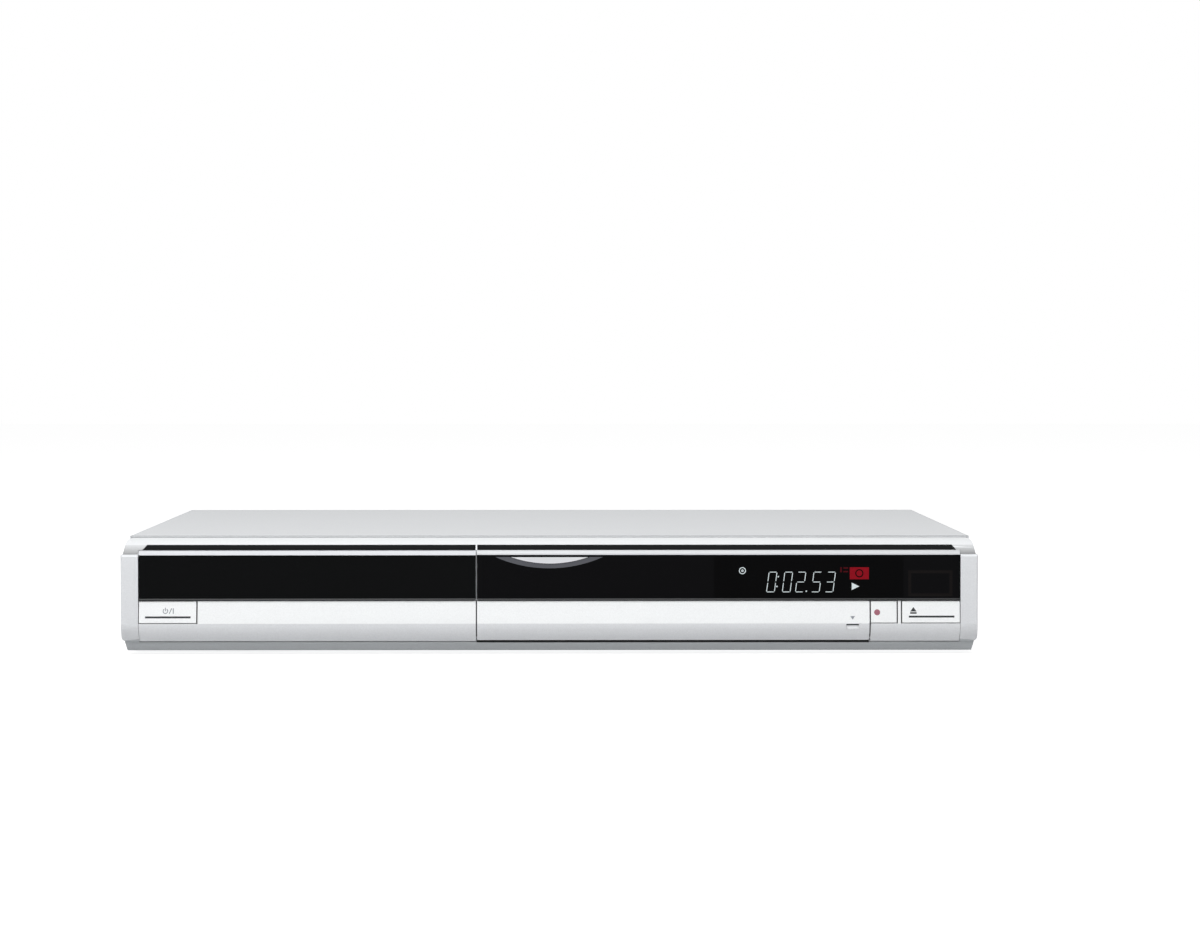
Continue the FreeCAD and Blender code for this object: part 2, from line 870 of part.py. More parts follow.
def inlay_band(name, ends, depth, clearance):
    """A band that follows the shoulder's round face, with slanted outer ends."""
    ring = tube(name + " ring", "x", (shoulder_axis_y, shoulder_axis_z), (-half_width, half_width),
                shoulder_radius + (OVER if clearance else 0), shoulder_radius - depth)
    low = v.inlay_bottom - clearance
    high = v.inlay_top + clearance
    left, right = ends
    outline = [(left[0] - clearance, low), (right[0] + clearance, low),
               (right[1] + clearance, high), (left[1] - clearance, high)]
    window = prism(name + " window", "xz", outline, (front - OVER, shoulder_axis_y))
    return common(name, ring, window)


def inlay_ends():
    """The bottom and top X of the two ends of each inlay strip."""
    outer = cap_inner - v.inlay_end_gap
    left_divide = v.centre_seam - v.inlay_divider / 2
    right_divide = v.centre_seam + v.inlay_divider / 2
    return [
        ((-outer, -outer + v.inlay_end_slant), (left_divide, left_divide)),
        ((right_divide, right_divide), (outer, outer - v.inlay_end_slant)),
    ]


def fascia_openings():
    """Everything that the fascia is cut through by."""
    deep = (front - OVER, carrier_low_back + OVER)
    high = (front - OVER, carrier_high_back + OVER)
    tube_gap = 1.0
    tray_way = tray_half + v.tray_opening_margin
    tools = [
        span("tray way", (drive_x - tray_way, drive_x + tray_way), high,
             (v.tray_opening_bottom, v.tray_opening_top)),
        span("tube way", (tube_left - tube_gap, tube_left + v.tube_width + tube_gap), high,
             (v.tube_bottom - tube_gap, v.tube_bottom + v.tube_height + tube_gap)),
        span("sensor way",
             (sensor_x - v.sensor_window_width / 2, sensor_x + v.sensor_window_width / 2), high,
             (v.sensor_height - v.sensor_window_height / 2, v.sensor_height + v.sensor_window_height / 2)),
        span("bay way", (flap_left + v.bay_margin, flap_right - v.bay_margin), deep,
             (v.bay_bottom, v.bay_top)),
        span("flap foot way", (flap_left - v.flap_seam / 2, flap_right + v.flap_seam / 2),
             (front + v.plinth_face, carrier_low_back + OVER), (v.plinth_top - v.plinth_notch, v.bay_bottom)),
    ]
    for name, middle in stem_places():
        tools.append(span(
            name + " way",
            (middle - v.stem_width / 2 - v.button_gap, middle + v.stem_width / 2 + v.button_gap), deep,
            (stem_z - v.stem_height / 2 - v.button_gap, stem_z + v.stem_height / 2 + v.button_gap)))
    for number, ends in enumerate(inlay_ends()):
        tools.append(inlay_band("inlay groove %d" % number, ends, v.inlay_depth, v.running_gap))
    return tools


stem_z = place("stem_z", (v.crease_height + v.band_top) / 2)


def stem_places():
    """The names and middles of the three buttons in the band."""
    return [
        ("power", (panel_left + power_right) / 2),
        ("record", (record_left + record_right) / 2),
        ("eject", (eject_left + panel_right) / 2),
    ]


def make_top_inlay():
    """Black strips let into the shoulder, left and right of the centre line."""
    strips = [inlay_band("inlay %d" % number, ends, v.inlay_depth, 0)
              for number, ends in enumerate(inlay_ends())]
    return keep("top_inlay", group("inlay strips", strips))


def lower_panel_outline(foot, returned):
    """Section of a lower panel: curved foot, crease, leaning band and its two returns."""
    wall = v.panel_wall
    inner = curve_inner_radius
    return_top = foot + wall
    return [
        (returned, foot),
        (curve_y(v.curve_radius, foot), foot),
        (front, v.crease_height, v.curve_radius, -1),
        (front + v.band_setback, v.band_top),
        (returned, v.band_top),
        (returned, v.band_top - wall),
        (front + v.band_setback + wall, v.band_top - wall),
        (curve_y(inner, v.crease_height), v.crease_height),
        (curve_y(inner, return_top), return_top, inner, 1),
        (returned, return_top),
    ]


def button_bay(name, left, right):
    """The space that a button in the band takes, with its gaps."""
    return span(name, (left, right), (front - OVER, carrier_low + OVER), (v.crease_height, v.band_top + OVER))


hinge_axis = (place("hinge_axis_y", front + v.hinge_depth), v.hinge_height)


def hinged_end(name, shell, ends, bays):
    """A lower panel with its button bays cut away and a bored boss for one of the flap's pins."""
    boss = rod(name + " boss", "x", hinge_axis, ends, v.hinge_barrel_radius)
    bore = rod(name + " bore", "x", hinge_axis, (ends[0] - OVER, ends[1] + OVER),
               v.hinge_pin_radius + v.running_gap)
    return cut(name + " cut", fuse(name + " solid", shell, boss), bore, *bays)


def make_left_lower_panel():
    """The fixed panel under the tray door, cut away for the power button."""
    shell = prism("left panel", "yz", lower_panel_outline(v.cap_bottom, carrier_low),
                  (panel_left, seam_left))
    bay = button_bay("power bay", panel_left - OVER, power_right + v.key_seam)
    ends = (seam_left - v.hinge_barrel_length, seam_left)
    return keep("left_lower_panel", hinged_end("left panel", shell, ends, [bay]))


def make_right_lower_panel():
    """The fixed panel at the right, cut away for the record and open buttons."""
    shell = prism("right panel", "yz", lower_panel_outline(v.cap_bottom, carrier_low),
                  (right_panel_left, panel_right))
    bays = [
        button_bay("record bay", record_left - v.fit_gap, record_right + v.key_seam),
        button_bay("eject bay", eject_left - v.key_seam, panel_right + OVER),
    ]
    ends = (right_panel_left, right_panel_left + v.hinge_barrel_length)
    return keep("right_lower_panel", hinged_end("right panel", shell, ends, bays))


def gloss_outline(rear):
    """Section of a gloss panel with the lip along its lower edge."""
    return [
        (front + v.gloss_lip_face, v.gloss_bottom),
        (front + v.gloss_face, v.gloss_lip_height),
        (front + v.gloss_face, v.gloss_top),
        (rear, v.gloss_top),
        (rear, v.gloss_bottom),
    ]


def make_display_window():
    """The smoked panel in front of the display and the remote sensor."""
    return keep("display_window", prism(
        "window", "yz", gloss_outline(carrier_high), (seam_right, panel_right)))


def make_crescent_inlay():
    """A pale inlay in the shape of a disc's lower edge, raised on the window."""
    radius = v.disc_edge_radius
    drop = v.disc_edge_low + radius - v.disc_edge_high
    proud = v.panel_wall / 4
    reach = root(radius * radius - drop * drop)
    return keep("crescent_inlay", prism("disc edge", "xz", [
        (-reach, v.disc_edge_high),
        (reach, v.disc_edge_high, radius, 1),
    ], (front + v.gloss_face - proud, front + v.gloss_face)))


# Buttons

def band_y(height):
    """Where the leaning band's face lies at a height."""
    share = (height - v.crease_height) / (v.band_top - v.crease_height)
    return front + v.band_setback * share


def band_button(name, left, right):
    """A button whose cap is a piece of the leaning band, with a stem to its key."""
    low = v.crease_height + v.slide_gap
    high = v.band_top - v.fit_gap
    wall = v.panel_wall
    cap = prism(name + " cap", "yz", [
        (band_y(low), low),
        (band_y(high), high),
        (band_y(high) + wall, high),
        (band_y(low) + wall, low),
    ], (left, right))
    middle = (left + right) / 2
    stem = span(name + " stem",
                (middle - v.stem_width / 2, middle + v.stem_width / 2),
                (band_y(low) + wall, key_face - v.press_travel - v.button_gap),
                (stem_z - v.stem_height / 2, stem_z + v.stem_height / 2))
    return fuse(name + " solid", cap, stem)


board_face = place("board_face", front + v.front_board_depth)
key_face = place("key_face", board_face - v.key_height)


def make_band_buttons():
    """The power, record and open buttons."""
    keep("power_button", band_button("power", panel_left + v.fit_gap, power_right))
    keep("record_button", band_button("record", record_left, record_right))
    keep("eject_button", band_button("eject", eject_left, panel_right - v.fit_gap))


bay_floor = place("bay_floor_y", front + v.bay_floor)
bay_left = place("bay_left", flap_left + v.bay_margin)
bay_right = place("bay_right", flap_right - v.bay_margin)

SMALL_BUTTONS = ("channel_down_button", "channel_up_button", "stop_button", "play_button")


small_cap_back = place("small_cap_back", bay_floor - v.press_travel - v.running_gap * 2)


def small_button_place(number):
    """The middle of a button behind the flap, counted from the left."""
    first = 0.8
    return bay_left + v.small_button_pitch * (number + first)


def make_small_buttons():
    """Four buttons behind the flap, each with a stem through the bay's floor."""
    for number, name in enumerate(SMALL_BUTTONS):
        middle = small_button_place(number)
        half = v.small_button_width / 2
        tall = v.small_button_height / 2
        cap = span(name + " cap", (middle - half, middle + half),
                   (bay_floor - v.small_button_proud, small_cap_back),
                   (v.socket_height - tall, v.socket_height + tall))
        keep(name, fuse(name + " solid", cap, small_stem(name, middle, 0)))


def small_stem(name, middle, gap):
    """The stem of a button behind the flap, or its way through the floor where a gap is given."""
    half = v.small_button_width / 4 + gap
    tall = v.small_button_height / 3 + gap
    ends = (small_cap_back, key_face - v.press_travel - v.button_gap)
    if gap:
        ends = (bay_floor - OVER, key_face + v.key_height)
    return span(name + " stem", (middle - half, middle + half), ends,
                (v.socket_height - tall, v.socket_height + tall))


# Flap and the bay behind it

def make_front_flap():
    """The fold-down flap, with a finger notch, two barrels and their pins."""
    return_walls = 1.8
    inner_return = front + v.band_setback + v.panel_wall * return_walls
    inner = curve_inner_radius
    outline = [
        (curve_y(v.curve_radius, v.flap_foot), v.flap_foot),
        (front, v.crease_height, v.curve_radius, -1),
        (front + v.band_setback, v.band_top),
        (inner_return, v.band_top),
        (inner_return, v.band_top - v.panel_wall),
        (front + v.band_setback + v.panel_wall, v.band_top - v.panel_wall),
        (curve_y(inner, v.crease_height), v.crease_height),
        (curve_y(inner, v.flap_foot), v.flap_foot, inner, 1),
    ]
    body = new_body("flap shell")
    pad(body, "flap", "yz", outline, (flap_left, flap_right))
    notch_right = flap_right - v.notch_inset
    pocket(body, "finger notch", "xz", rectangle(
        (notch_right - v.notch_width, notch_right),
        (v.crease_height - v.notch_drop - v.notch_height, v.crease_height - v.notch_drop)),
        (front - OVER, front + v.notch_depth))
    pieces = [body]
    for number, inside, outside in (
            (1, (flap_left, flap_left + v.hinge_barrel_length), (flap_left - v.hinge_pin_length, flap_left)),
            (2, (flap_right - v.hinge_barrel_length, flap_right),
             (flap_right, flap_right + v.hinge_pin_length))):
        pieces.append(rod("hinge barrel %d" % number, "x", hinge_axis, inside, v.hinge_barrel_radius))
        pieces.append(rod("hinge pin %d" % number, "x", hinge_axis, outside, v.hinge_pin_radius))
    return keep("front_flap", fuse("flap", *pieces))


SOCKET_SLOTS = ("svideo", "video", "audio_left", "audio_right", "dv")


def socket_place(number):
    """The middle of a socket behind the flap, counted from the left."""
    last = 1.4
    return bay_right - v.rca_pitch * (len(SOCKET_SLOTS) - number + last)


def make_inner_panel():
    """A tub behind the flap, holed for its sockets and small buttons."""
    flange_walls = 1.5
    port_gap = 0.2
    margin = v.bay_wall * flange_walls
    x = (flap_left - margin, flap_right + margin)
    z = (v.plinth_bottom + v.moulded_wall + v.fit_gap, v.bay_top + margin)
    wall = v.bay_wall
    flange = span("bay flange", x, (carrier_low_back, carrier_low_back + wall), z)
    tub = span("bay tub", (bay_left, bay_right),
               (carrier_low_back, bay_floor + wall), (v.bay_bottom, v.bay_top))
    way = span("bay space", (bay_left + wall, bay_right - wall), (carrier_low_back - OVER, bay_floor),
               (v.bay_bottom + wall, v.bay_top - wall))
    holes = []
    through = (bay_floor - OVER, bay_floor + wall + OVER)
    for number, name in enumerate(SMALL_BUTTONS):
        holes.append(small_stem(name + " way", small_button_place(number), v.button_gap))
    for number, name in enumerate(SOCKET_SLOTS):
        middle = socket_place(number)
        if name == "dv":
            half = v.dv_width / 2 + port_gap
            tall = v.dv_height / 2 + port_gap
            holes.append(span("dv way", (middle - half, middle + half), through,
                              (v.socket_height - tall, v.socket_height + tall)))
        else:
            radius = v.svideo_radius if name == "svideo" else v.rca_radius
            holes.append(rod(name + " way", "y", (middle, v.socket_height), through, radius + v.fit_gap))
    return keep("inner_panel", cut("bay", fuse("bay solid", flange, tub), way, *holes))


def plug_sleeve(name, centre, base, seat, mouth, radius, bore):
    """A socket's sleeve: a thinner neck through its panel, then the plug's true radius."""
    if mouth.value > base.value:
        neck, wall = (base, seat), (seat, mouth)
    else:
        neck, wall = (seat, base), (mouth, seat)
    return fuse(name + " sleeve", tube(name + " neck", "y", centre, neck, radius - v.neck_step, bore),
                tube(name + " wall", "y", centre, wall, radius, bore))


def make_av_in_sockets():
    """Video and two audio inputs: phono sleeves with their blocks on the front board."""
    solids = []
    block_rim = 1.0
    floor_back = bay_floor + v.bay_wall
    mouth = bay_floor - v.rca_length
    for number in (1, 2, 3):
        name = SOCKET_SLOTS[number]
        middle = socket_place(number)
        sleeve = plug_sleeve(name, (middle, v.socket_height), floor_back, bay_floor - v.slide_gap, mouth,
                             v.rca_radius, v.rca_bore)
        half = v.rca_radius + block_rim
        block = span(name + " block", (middle - half, middle + half), (floor_back, board_face),
                     (v.socket_height - half, v.socket_height + half))
        solids.append(fuse(name + " socket", sleeve, block))
    return keep("av_in_sockets", group("phono inputs", solids))


def make_s_video_in():
    """Round four-pin socket with its shroud and block."""
    middle = socket_place(0)
    centre = (middle, v.socket_height)
    proud = 2.0
    recess = 0.2
    pin_side = 1.7
    pin_rise = 1.2
    pin_radius = 0.6
    pin_floor = 0.3
    block_rim = 0.6
    half = v.svideo_radius + block_rim
    floor_back = bay_floor + v.bay_wall
    shroud = tube("svideo shroud", "y", centre, (bay_floor - proud, floor_back),
                  v.svideo_radius, v.svideo_bore)
    core = rod("svideo core", "y", centre, (bay_floor + recess, floor_back), v.svideo_bore)
    holes = []
    for side_x in (-1, 1):
        for side_z in (-1, 1):
            holes.append(rod("svideo hole %d %d" % (side_x + 1, side_z + 1), "y",
                             (middle + side_x * pin_side, v.socket_height + side_z * pin_rise),
                             (bay_floor - OVER, floor_back - pin_floor), pin_radius))
    block = span("svideo block", (middle - half, middle + half), (floor_back, board_face),
                 (v.socket_height - half, v.socket_height + half))
    return keep("s_video_in", fuse("svideo", shroud, cut("svideo pins", core, *holes), block))


def make_dv_in():
    """Small rectangular digital socket on the front board."""
    middle = socket_place(4)
    proud = 1.0
    wall = 0.5
    x = (middle - v.dv_width / 2, middle + v.dv_width / 2)
    z = (v.socket_height - v.dv_height / 2, v.socket_height + v.dv_height / 2)
    shell = hollow("dv shell", x, (bay_floor - proud, board_face), z, wall, "-y")
    tongue = span("dv tongue", (middle - v.dv_width / 4, middle + v.dv_width / 4),
                  (bay_floor, board_face - wall), (v.socket_height - wall, v.socket_height + wall))
    return keep("dv_in", fuse("dv", shell, tongue))


# Boards behind the front

def make_front_board():
    """The board behind the front with its keys, and a second small one for the power key."""
    edge_gap = 2.0
    end_walls = 1.5
    way_gap = 1.0
    board_back = board_face + v.board_thickness
    main = span("front board main", (seam_right + edge_gap, cap_inner - v.moulded_wall * end_walls),
                (board_face, board_back), (v.front_board_bottom, v.front_board_top))
    solids = [main]
    for number, name in enumerate(SMALL_BUTTONS):
        solids.append(key_on_board(name, small_button_place(number), v.socket_height))
    for name, middle in stem_places()[1:]:
        solids.append(key_on_board(name, middle, stem_z))
    power = stem_places()[0][1]
    half = v.power_button_width / 2
    small = span("power board", (power - half + v.moulded_wall, power + half), (board_face, board_back),
                 (v.front_board_bottom, v.tray_opening_bottom - way_gap))
    small = fuse("power board with key", small, key_on_board("power", power, stem_z))
    return keep("front_board", group("front boards", [fuse("front board with keys", *solids), small]))


def key_on_board(name, middle, height):
    """A small key switch: square base and round plunger."""
    base_share = 1.8
    half = v.key_radius * base_share
    base = span(name + " key base", (middle - half, middle + half),
                (key_face + v.key_height / 3, board_face), (height - half, height + half))
    plunger = rod(name + " key plunger", "y", (middle, height), (key_face, board_face), v.key_radius)
    return fuse(name + " key", base, plunger)


def make_display_tube():
    """The flat glass display tube with its holder on the front board."""
    inset = 2.0
    start = carrier_high_back + v.slide_gap
    x = (tube_left, tube_left + v.tube_width)
    glass = span("tube glass", x, (start, start + v.tube_depth),
                 (v.tube_bottom, v.tube_bottom + v.tube_height))
    holder = span("tube holder", (x[0] + v.tube_depth, x[1] - v.tube_depth),
                  (start + v.tube_depth, board_face),
                  (v.tube_bottom + inset, v.tube_bottom + v.tube_height - inset))
    return keep("display_tube", fuse("tube", glass, holder))


def make_remote_sensor():
    """The receiver for the handset: a block with a round lens, on the front board."""
    half = v.sensor_size / 2
    lens_share = 0.7
    lens_root = 1.0
    x = (sensor_x - half, sensor_x + half)
    start = carrier_high_back + v.slide_gap
    block = span("sensor block", x, (start + v.slide_gap, board_face),
                 (v.sensor_height - half, v.sensor_height + half))
    lens = rod("sensor lens", "y", (sensor_x, v.sensor_height),
               (carrier_high + v.slide_gap, start + lens_root), half * lens_share)
    return keep("remote_sensor", fuse("sensor", block, lens))


# Casing

def vent_row(name, axis, start, other, ends, count):
    """Slots in a row: along Y at a side wall, or along X in a floor."""
    slots = []
    for number in range(count):
        low = start + v.vent_pitch * number
        slots.append(span("%s %d" % (name, number), *(
            (other, (low, low + v.vent_width), ends) if axis == "y" else
            ((low, low + v.vent_width), other, ends))))
    return slots


def rear_screw_places():
    """Where the cover is screwed to the rear panel."""
    height = cover_top - v.sheet_steel - v.rear_screw_drop
    edge = cover_side - v.foot_radius
    return [(-edge, height), (0, height), (edge, height)]


def side_screw_places():
    """Where the cover is screwed to the chassis walls, along the depth."""
    return [cover_front + v.vent_length, rear_face - v.vent_length * 2]


def make_top_cover():
    """Folded steel cover: top, two sides with vents and a rear flange."""
    steel = v.sheet_steel
    bottom = chassis_floor
    shell = prism("cover shell", "xz", [
        (-cover_side, bottom),
        (-cover_inner, bottom),
        (-cover_inner, cover_top - steel),
        (cover_inner, cover_top - steel),
        (cover_inner, bottom),
        (cover_side, bottom),
        (cover_side, cover_top),
        (-cover_side, cover_top),
    ], (cover_front, rear_face + steel))
    flange = span("cover flange", (-cover_inner, cover_inner), (rear_face, rear_face + steel),
                  (cover_top - steel - v.cover_flange, cover_top - steel))
    count = int(float(v.vent_count))
    row_start = v.vent_pitch * -count / 2
    upright = 0.7
    height = (cover_top / 2, cover_top / 2 + v.vent_length * upright)
    cuts = vent_row("left vent", "y", row_start, (-cover_side - OVER, -cover_inner + OVER), height, count)
    cuts += vent_row("right vent", "y", row_start, (cover_inner - OVER, cover_side + OVER), height, count)
    hole = v.screw_radius + v.fit_gap
    for number, y in enumerate(side_screw_places()):
        cuts.append(rod("cover side hole %d" % number, "x", (y, v.side_screw_height),
                        (-cover_side - OVER, -cover_inner + OVER), hole))
        cuts.append(rod("cover far hole %d" % number, "x", (y, v.side_screw_height),
                        (cover_inner - OVER, cover_side + OVER), hole))
    for number, (x, z) in enumerate(rear_screw_places()):
        cuts.append(rod("cover rear hole %d" % number, "y", (x, z),
                        (rear_face - OVER, rear_face + steel + OVER), hole))
    return keep("top_cover", cut("cover", fuse("cover folded", shell, flange), *cuts))


def standoffs(name, spots, top):
    """Round pillars on the chassis floor under a board or a drive."""
    return [rod("%s %d" % (name, number), "z", spot, (chassis_floor, top), v.standoff_radius)
            for number, spot in enumerate(spots)]


def board_corners(x, y, inset):
    """Four places inside a board's corners."""
    return [(px, py) for px in (x[0] + inset, x[1] - inset) for py in (y[0] + inset, y[1] - inset)]


drive_front = place("drive_front_y", front + v.drive_front)
drive_back = place("drive_back_y", drive_front + v.drive_length)
supply_right = place("supply_right", cover_inner - v.supply_side_gap)
supply_left = place("supply_left", supply_right - v.supply_width)
supply_back = place("supply_back_y", rear_inner - v.supply_rear_gap)
supply_x = (supply_left, supply_right)
supply_y = (place("supply_y", supply_back - v.supply_length), supply_back)
tuner_x = place("tuner_x", v.tuner_side_gap + v.tuner_width / 2 - cover_inner)
scart_x = place("scart_x", tuner_x + (v.tuner_width + v.scart_width) / 2 + v.scart_gap)
rear_rca_x = place("rear_rca_x", scart_x + v.scart_width / 2 + v.rear_rca_gap)
fan_x = place("fan_x", supply_left + v.fan_inset)
inlet_x = place("inlet_x", supply_right - v.inlet_inset)
rear_rca_right = rear_rca_x + v.rca_pitch * 2 + v.rca_radius
fan_side = place("fan_side", shoulder_top - chassis_floor - v.fan_gap * 2)
hdmi_x = place("hdmi_x", (rear_rca_right + fan_x - fan_side / 2 - v.optical_pitch) / 2)
main_left = place("main_left", tuner_x + v.tuner_width / 2 + v.main_board_reach)
main_x = (main_left, place("main_right", supply_left - v.main_board_gap))
main_back = rear_inner - v.slide_gap
main_y = (place("main_board_y", main_back - v.main_board_length), main_back)
disk_left = place("disk_left", (drive_x + drive_half + supply_left - v.disk_width) / 2)
disk_x = (disk_left, disk_left + v.disk_width)
disk_back = place("disk_back_y", main_y[0] - v.disk_rear_gap)
disk_y = (disk_back - v.disk_length, disk_back)
board_top = place("board_top", chassis_floor + v.standoff + v.board_thickness)


def foot_places():
    """The middles of the four feet."""
    side = cover_side - v.foot_inset_side
    return [(x, y) for x in (-side, side)
            for y in (front + v.foot_inset_end, rear_face - v.foot_inset_end)]


def make_bottom_chassis():
    """Folded steel pan with pillars for the boards and the drives."""
    steel = v.sheet_steel
    outer = cover_inner - v.slide_gap
    wall_share = 1.4
    wall_top = chassis_floor + v.chassis_flange * wall_share
    lip_top = chassis_floor + v.chassis_flange / 4
    hole = v.screw_radius + v.fit_gap
    seat = board_top - v.board_thickness
    through = (chassis_bottom - OVER, chassis_floor + OVER)
    vent_share = 1.4
    floor = span("chassis floor plate", (-outer, outer), (fascia_rear, rear_inner),
                 (chassis_bottom, chassis_floor))
    left = span("chassis left wall", (-outer, -outer + steel), (fascia_rear, rear_inner),
                (chassis_bottom, wall_top))
    right = span("chassis right wall", (outer - steel, outer), (fascia_rear, rear_inner),
                 (chassis_bottom, wall_top))
    lip = span("chassis front lip", (-outer, outer), (fascia_rear, fascia_rear + steel),
               (chassis_bottom, lip_top))
    pillars = standoffs("main pillar", board_corners(main_x, main_y, v.standoff), seat)
    pillars += standoffs("supply pillar", board_corners(supply_x, supply_y, v.standoff), seat)
    drive_sides = (drive_x - drive_half, drive_x + drive_half)
    drive_ends = (drive_front, drive_back)
    pillars += standoffs("drive pillar", board_corners(drive_sides, drive_ends, v.standoff * 2),
                         v.drive_bottom)
    cuts = []
    for number, (x, y) in enumerate(foot_places()):
        cuts.append(rod("foot screw hole %d" % number, "z", (x, y), through, hole))
    for number, y in enumerate(side_screw_places()):
        for side, wall in (("left", (-outer - OVER, -outer + steel + OVER)),
                           ("right", (outer - steel - OVER, outer + OVER))):
            cuts.append(rod("chassis %s hole %d" % (side, number), "x", (y, v.side_screw_height),
                            wall, hole))
    count = int(float(v.vent_count))
    middle = (supply_x[0] + supply_x[1]) / 2
    vent_start = supply_y[0] + v.vent_length
    cuts += vent_row("floor vent", "x", middle - v.vent_pitch * count / 2,
                     (vent_start, vent_start + v.vent_length * vent_share), through, count)
    pan = fuse("chassis pan", floor, left, right, lip, *pillars)
    return keep("bottom_chassis", cut("chassis", pan, *cuts))


def make_feet():
    """Four moulded feet, each with a sunk place for its screw."""
    solids = []
    draft = 1.0
    for number, spot in enumerate(foot_places()):
        body = taper("foot %d" % number, "z", spot, (0, chassis_bottom),
                     (v.foot_radius - draft, v.foot_radius))
        well = rod("foot well %d" % number, "z", spot, (-OVER, v.foot_screw_depth), v.foot_screw_radius)
        hole = rod("foot hole %d" % number, "z", spot, (0, chassis_bottom + OVER), v.screw_radius + v.fit_gap)
        solids.append(cut("foot %d holed" % number, body, well, hole))
    return keep("feet", group("four feet", solids))


def pan_screw(name, axis, centre, seat, way, length):
    """A screw: head outside the sheet and shank through its clearance hole."""
    head = (seat, seat + v.screw_head_height) if way > 0 else (seat - v.screw_head_height, seat)
    shank = (seat - length, seat) if way > 0 else (seat, seat + length)
    return fuse(name, rod(name + " head", axis, centre, head, v.screw_head_radius),
                rod(name + " shank", axis, centre, shank, v.screw_radius))


def make_case_screws():
    """Screws of the cover and of the feet, as one group."""
    solids = []
    for number, y in enumerate(side_screw_places()):
        centre = (y, v.side_screw_height)
        solids.append(pan_screw("left screw %d" % number, "x", centre, -cover_side, -1, v.screw_length))
        solids.append(pan_screw("right screw %d" % number, "x", centre, cover_side, 1, v.screw_length))
    for number, spot in enumerate(rear_screw_places()):
        solids.append(pan_screw("rear screw %d" % number, "y", spot, rear_face + v.sheet_steel, 1,
                                v.screw_length))
    for number, spot in enumerate(foot_places()):
        solids.append(pan_screw("foot screw %d" % number, "z", spot, v.foot_screw_depth, -1,
                                v.foot_screw_length))
    return keep("case_screws", group("case screw set", solids))


# Rear panel and its sockets

rear_rca_spots = [(number, row) for number in range(3) for row in range(2)]


def rear_socket_low():
    """The height of the lower row of phono outputs."""
    return board_top + v.rca_pitch / 2


def scart_heights():
    """The middle heights of the two stacked sockets."""
    low = board_top + v.scart_height / 2
    return [low, low + v.scart_pitch]


def rear_rca_centre(number, row):
    """The centre of a phono output, by number and row."""
    return rear_rca_x + v.rca_pitch * number, rear_socket_low() + v.rca_pitch * row


def aerial_centres():
    """The centres of the two aerial sockets."""
    middle = board_top + v.tuner_height / 2
    return [(tuner_x - v.aerial_pitch / 2, middle), (tuner_x + v.aerial_pitch / 2, middle)]


fan_bottom = place("fan_bottom", chassis_floor + v.fan_gap)
fan_middle_z = place("fan_middle_z", fan_bottom + fan_side / 2)
fan_front = place("fan_front", rear_inner - v.fan_depth)


# Flat digital video socket: how far it stands over the board, and its shell's wall
HDMI_LIFT = 1.0
HDMI_WALL = 0.5
# Optical outlet: half its width and its whole height
OPTICAL_HALF = 5.0
OPTICAL_HEIGHT = 10.0
# Grille over the fan: rim, number of ring slots, share of a ring that is open, half a spoke
GRILLE_RIM = 3.0
GRILLE_RINGS = 4
GRILLE_OPEN = 0.6
GRILLE_SPOKE = 1.0


def make_rear_panel():
    """Steel rear panel, holed for each socket, the inlet and the fan."""
    outer = cover_inner - v.slide_gap
    plate = span("rear plate", (-outer, outer), (rear_inner, rear_face),
                 (chassis_bottom, shoulder_top - v.slide_gap))
    through = (rear_inner - OVER, rear_face + OVER)
    gap = v.fit_gap
    cuts = []
    for number, height in enumerate(scart_heights()):
        cuts.append(span("scart way %d" % number,
                         (scart_x - v.scart_width / 2 - gap, scart_x + v.scart_width / 2 + gap),
                         through, (height - v.scart_height / 2 - gap, height + v.scart_height / 2 + gap)))
    for number, row in rear_rca_spots:
        centre = rear_rca_centre(number, row)
        cuts.append(rod("rear phono way %d %d" % (number, row), "y", centre, through, v.rca_radius + gap))
    for number, centre in enumerate(aerial_centres()):
        cuts.append(rod("aerial way %d" % number, "y", centre, through, v.aerial_radius + gap))
    low = board_top
    cuts.append(span("hdmi way", (hdmi_x - v.hdmi_width / 2 - gap, hdmi_x + v.hdmi_width / 2 + gap),
                     through, (low + HDMI_LIFT - gap, low + HDMI_LIFT + v.hdmi_height + gap)))
    optical = hdmi_x + v.optical_pitch
    cuts.append(span("optical way", (optical - OPTICAL_HALF - gap, optical + OPTICAL_HALF + gap), through,
                     (low - gap, low + OPTICAL_HEIGHT + gap)))
    cuts.append(span("inlet way",
                     (inlet_x - v.inlet_width / 2 - gap, inlet_x + v.inlet_width / 2 + gap), through,
                     (v.inlet_height - v.inlet_tall / 2 - gap, v.inlet_height + v.inlet_tall / 2 + gap)))
    reach = fan_side / 2 - GRILLE_RIM
    step = (reach - v.fan_hub_radius) / GRILLE_RINGS
    for number in range(GRILLE_RINGS):
        outer_radius = reach - step * number
        inner_radius = outer_radius - step * GRILLE_OPEN
        cuts.append(fan_slot("fan slot %d" % number, outer_radius, inner_radius, through))
    for number, spot in enumerate(rear_screw_places()):
        cuts.append(rod("rear panel hole %d" % number, "y", spot, through, v.screw_radius + gap))
    return keep("rear_panel", cut("rear", plate, *cuts))


def fan_slot(name, outer_radius, inner_radius, through):
    """A ring slot of the fan grille, kept joined by four spokes."""
    centre = (fan_x, fan_middle_z)
    ring = tube(name + " ring", "y", centre, through, outer_radius, inner_radius)
    wide = (through[0] - OVER, through[1] + OVER)
    reach = fan_side
    upright = span(name + " upright", (fan_x - GRILLE_SPOKE, fan_x + GRILLE_SPOKE), wide,
                   (fan_middle_z - reach, fan_middle_z + reach))
    level = span(name + " level", (fan_x - reach, fan_x + reach), wide,
                 (fan_middle_z - GRILLE_SPOKE, fan_middle_z + GRILLE_SPOKE))
    return cut(name, ring, upright, level)


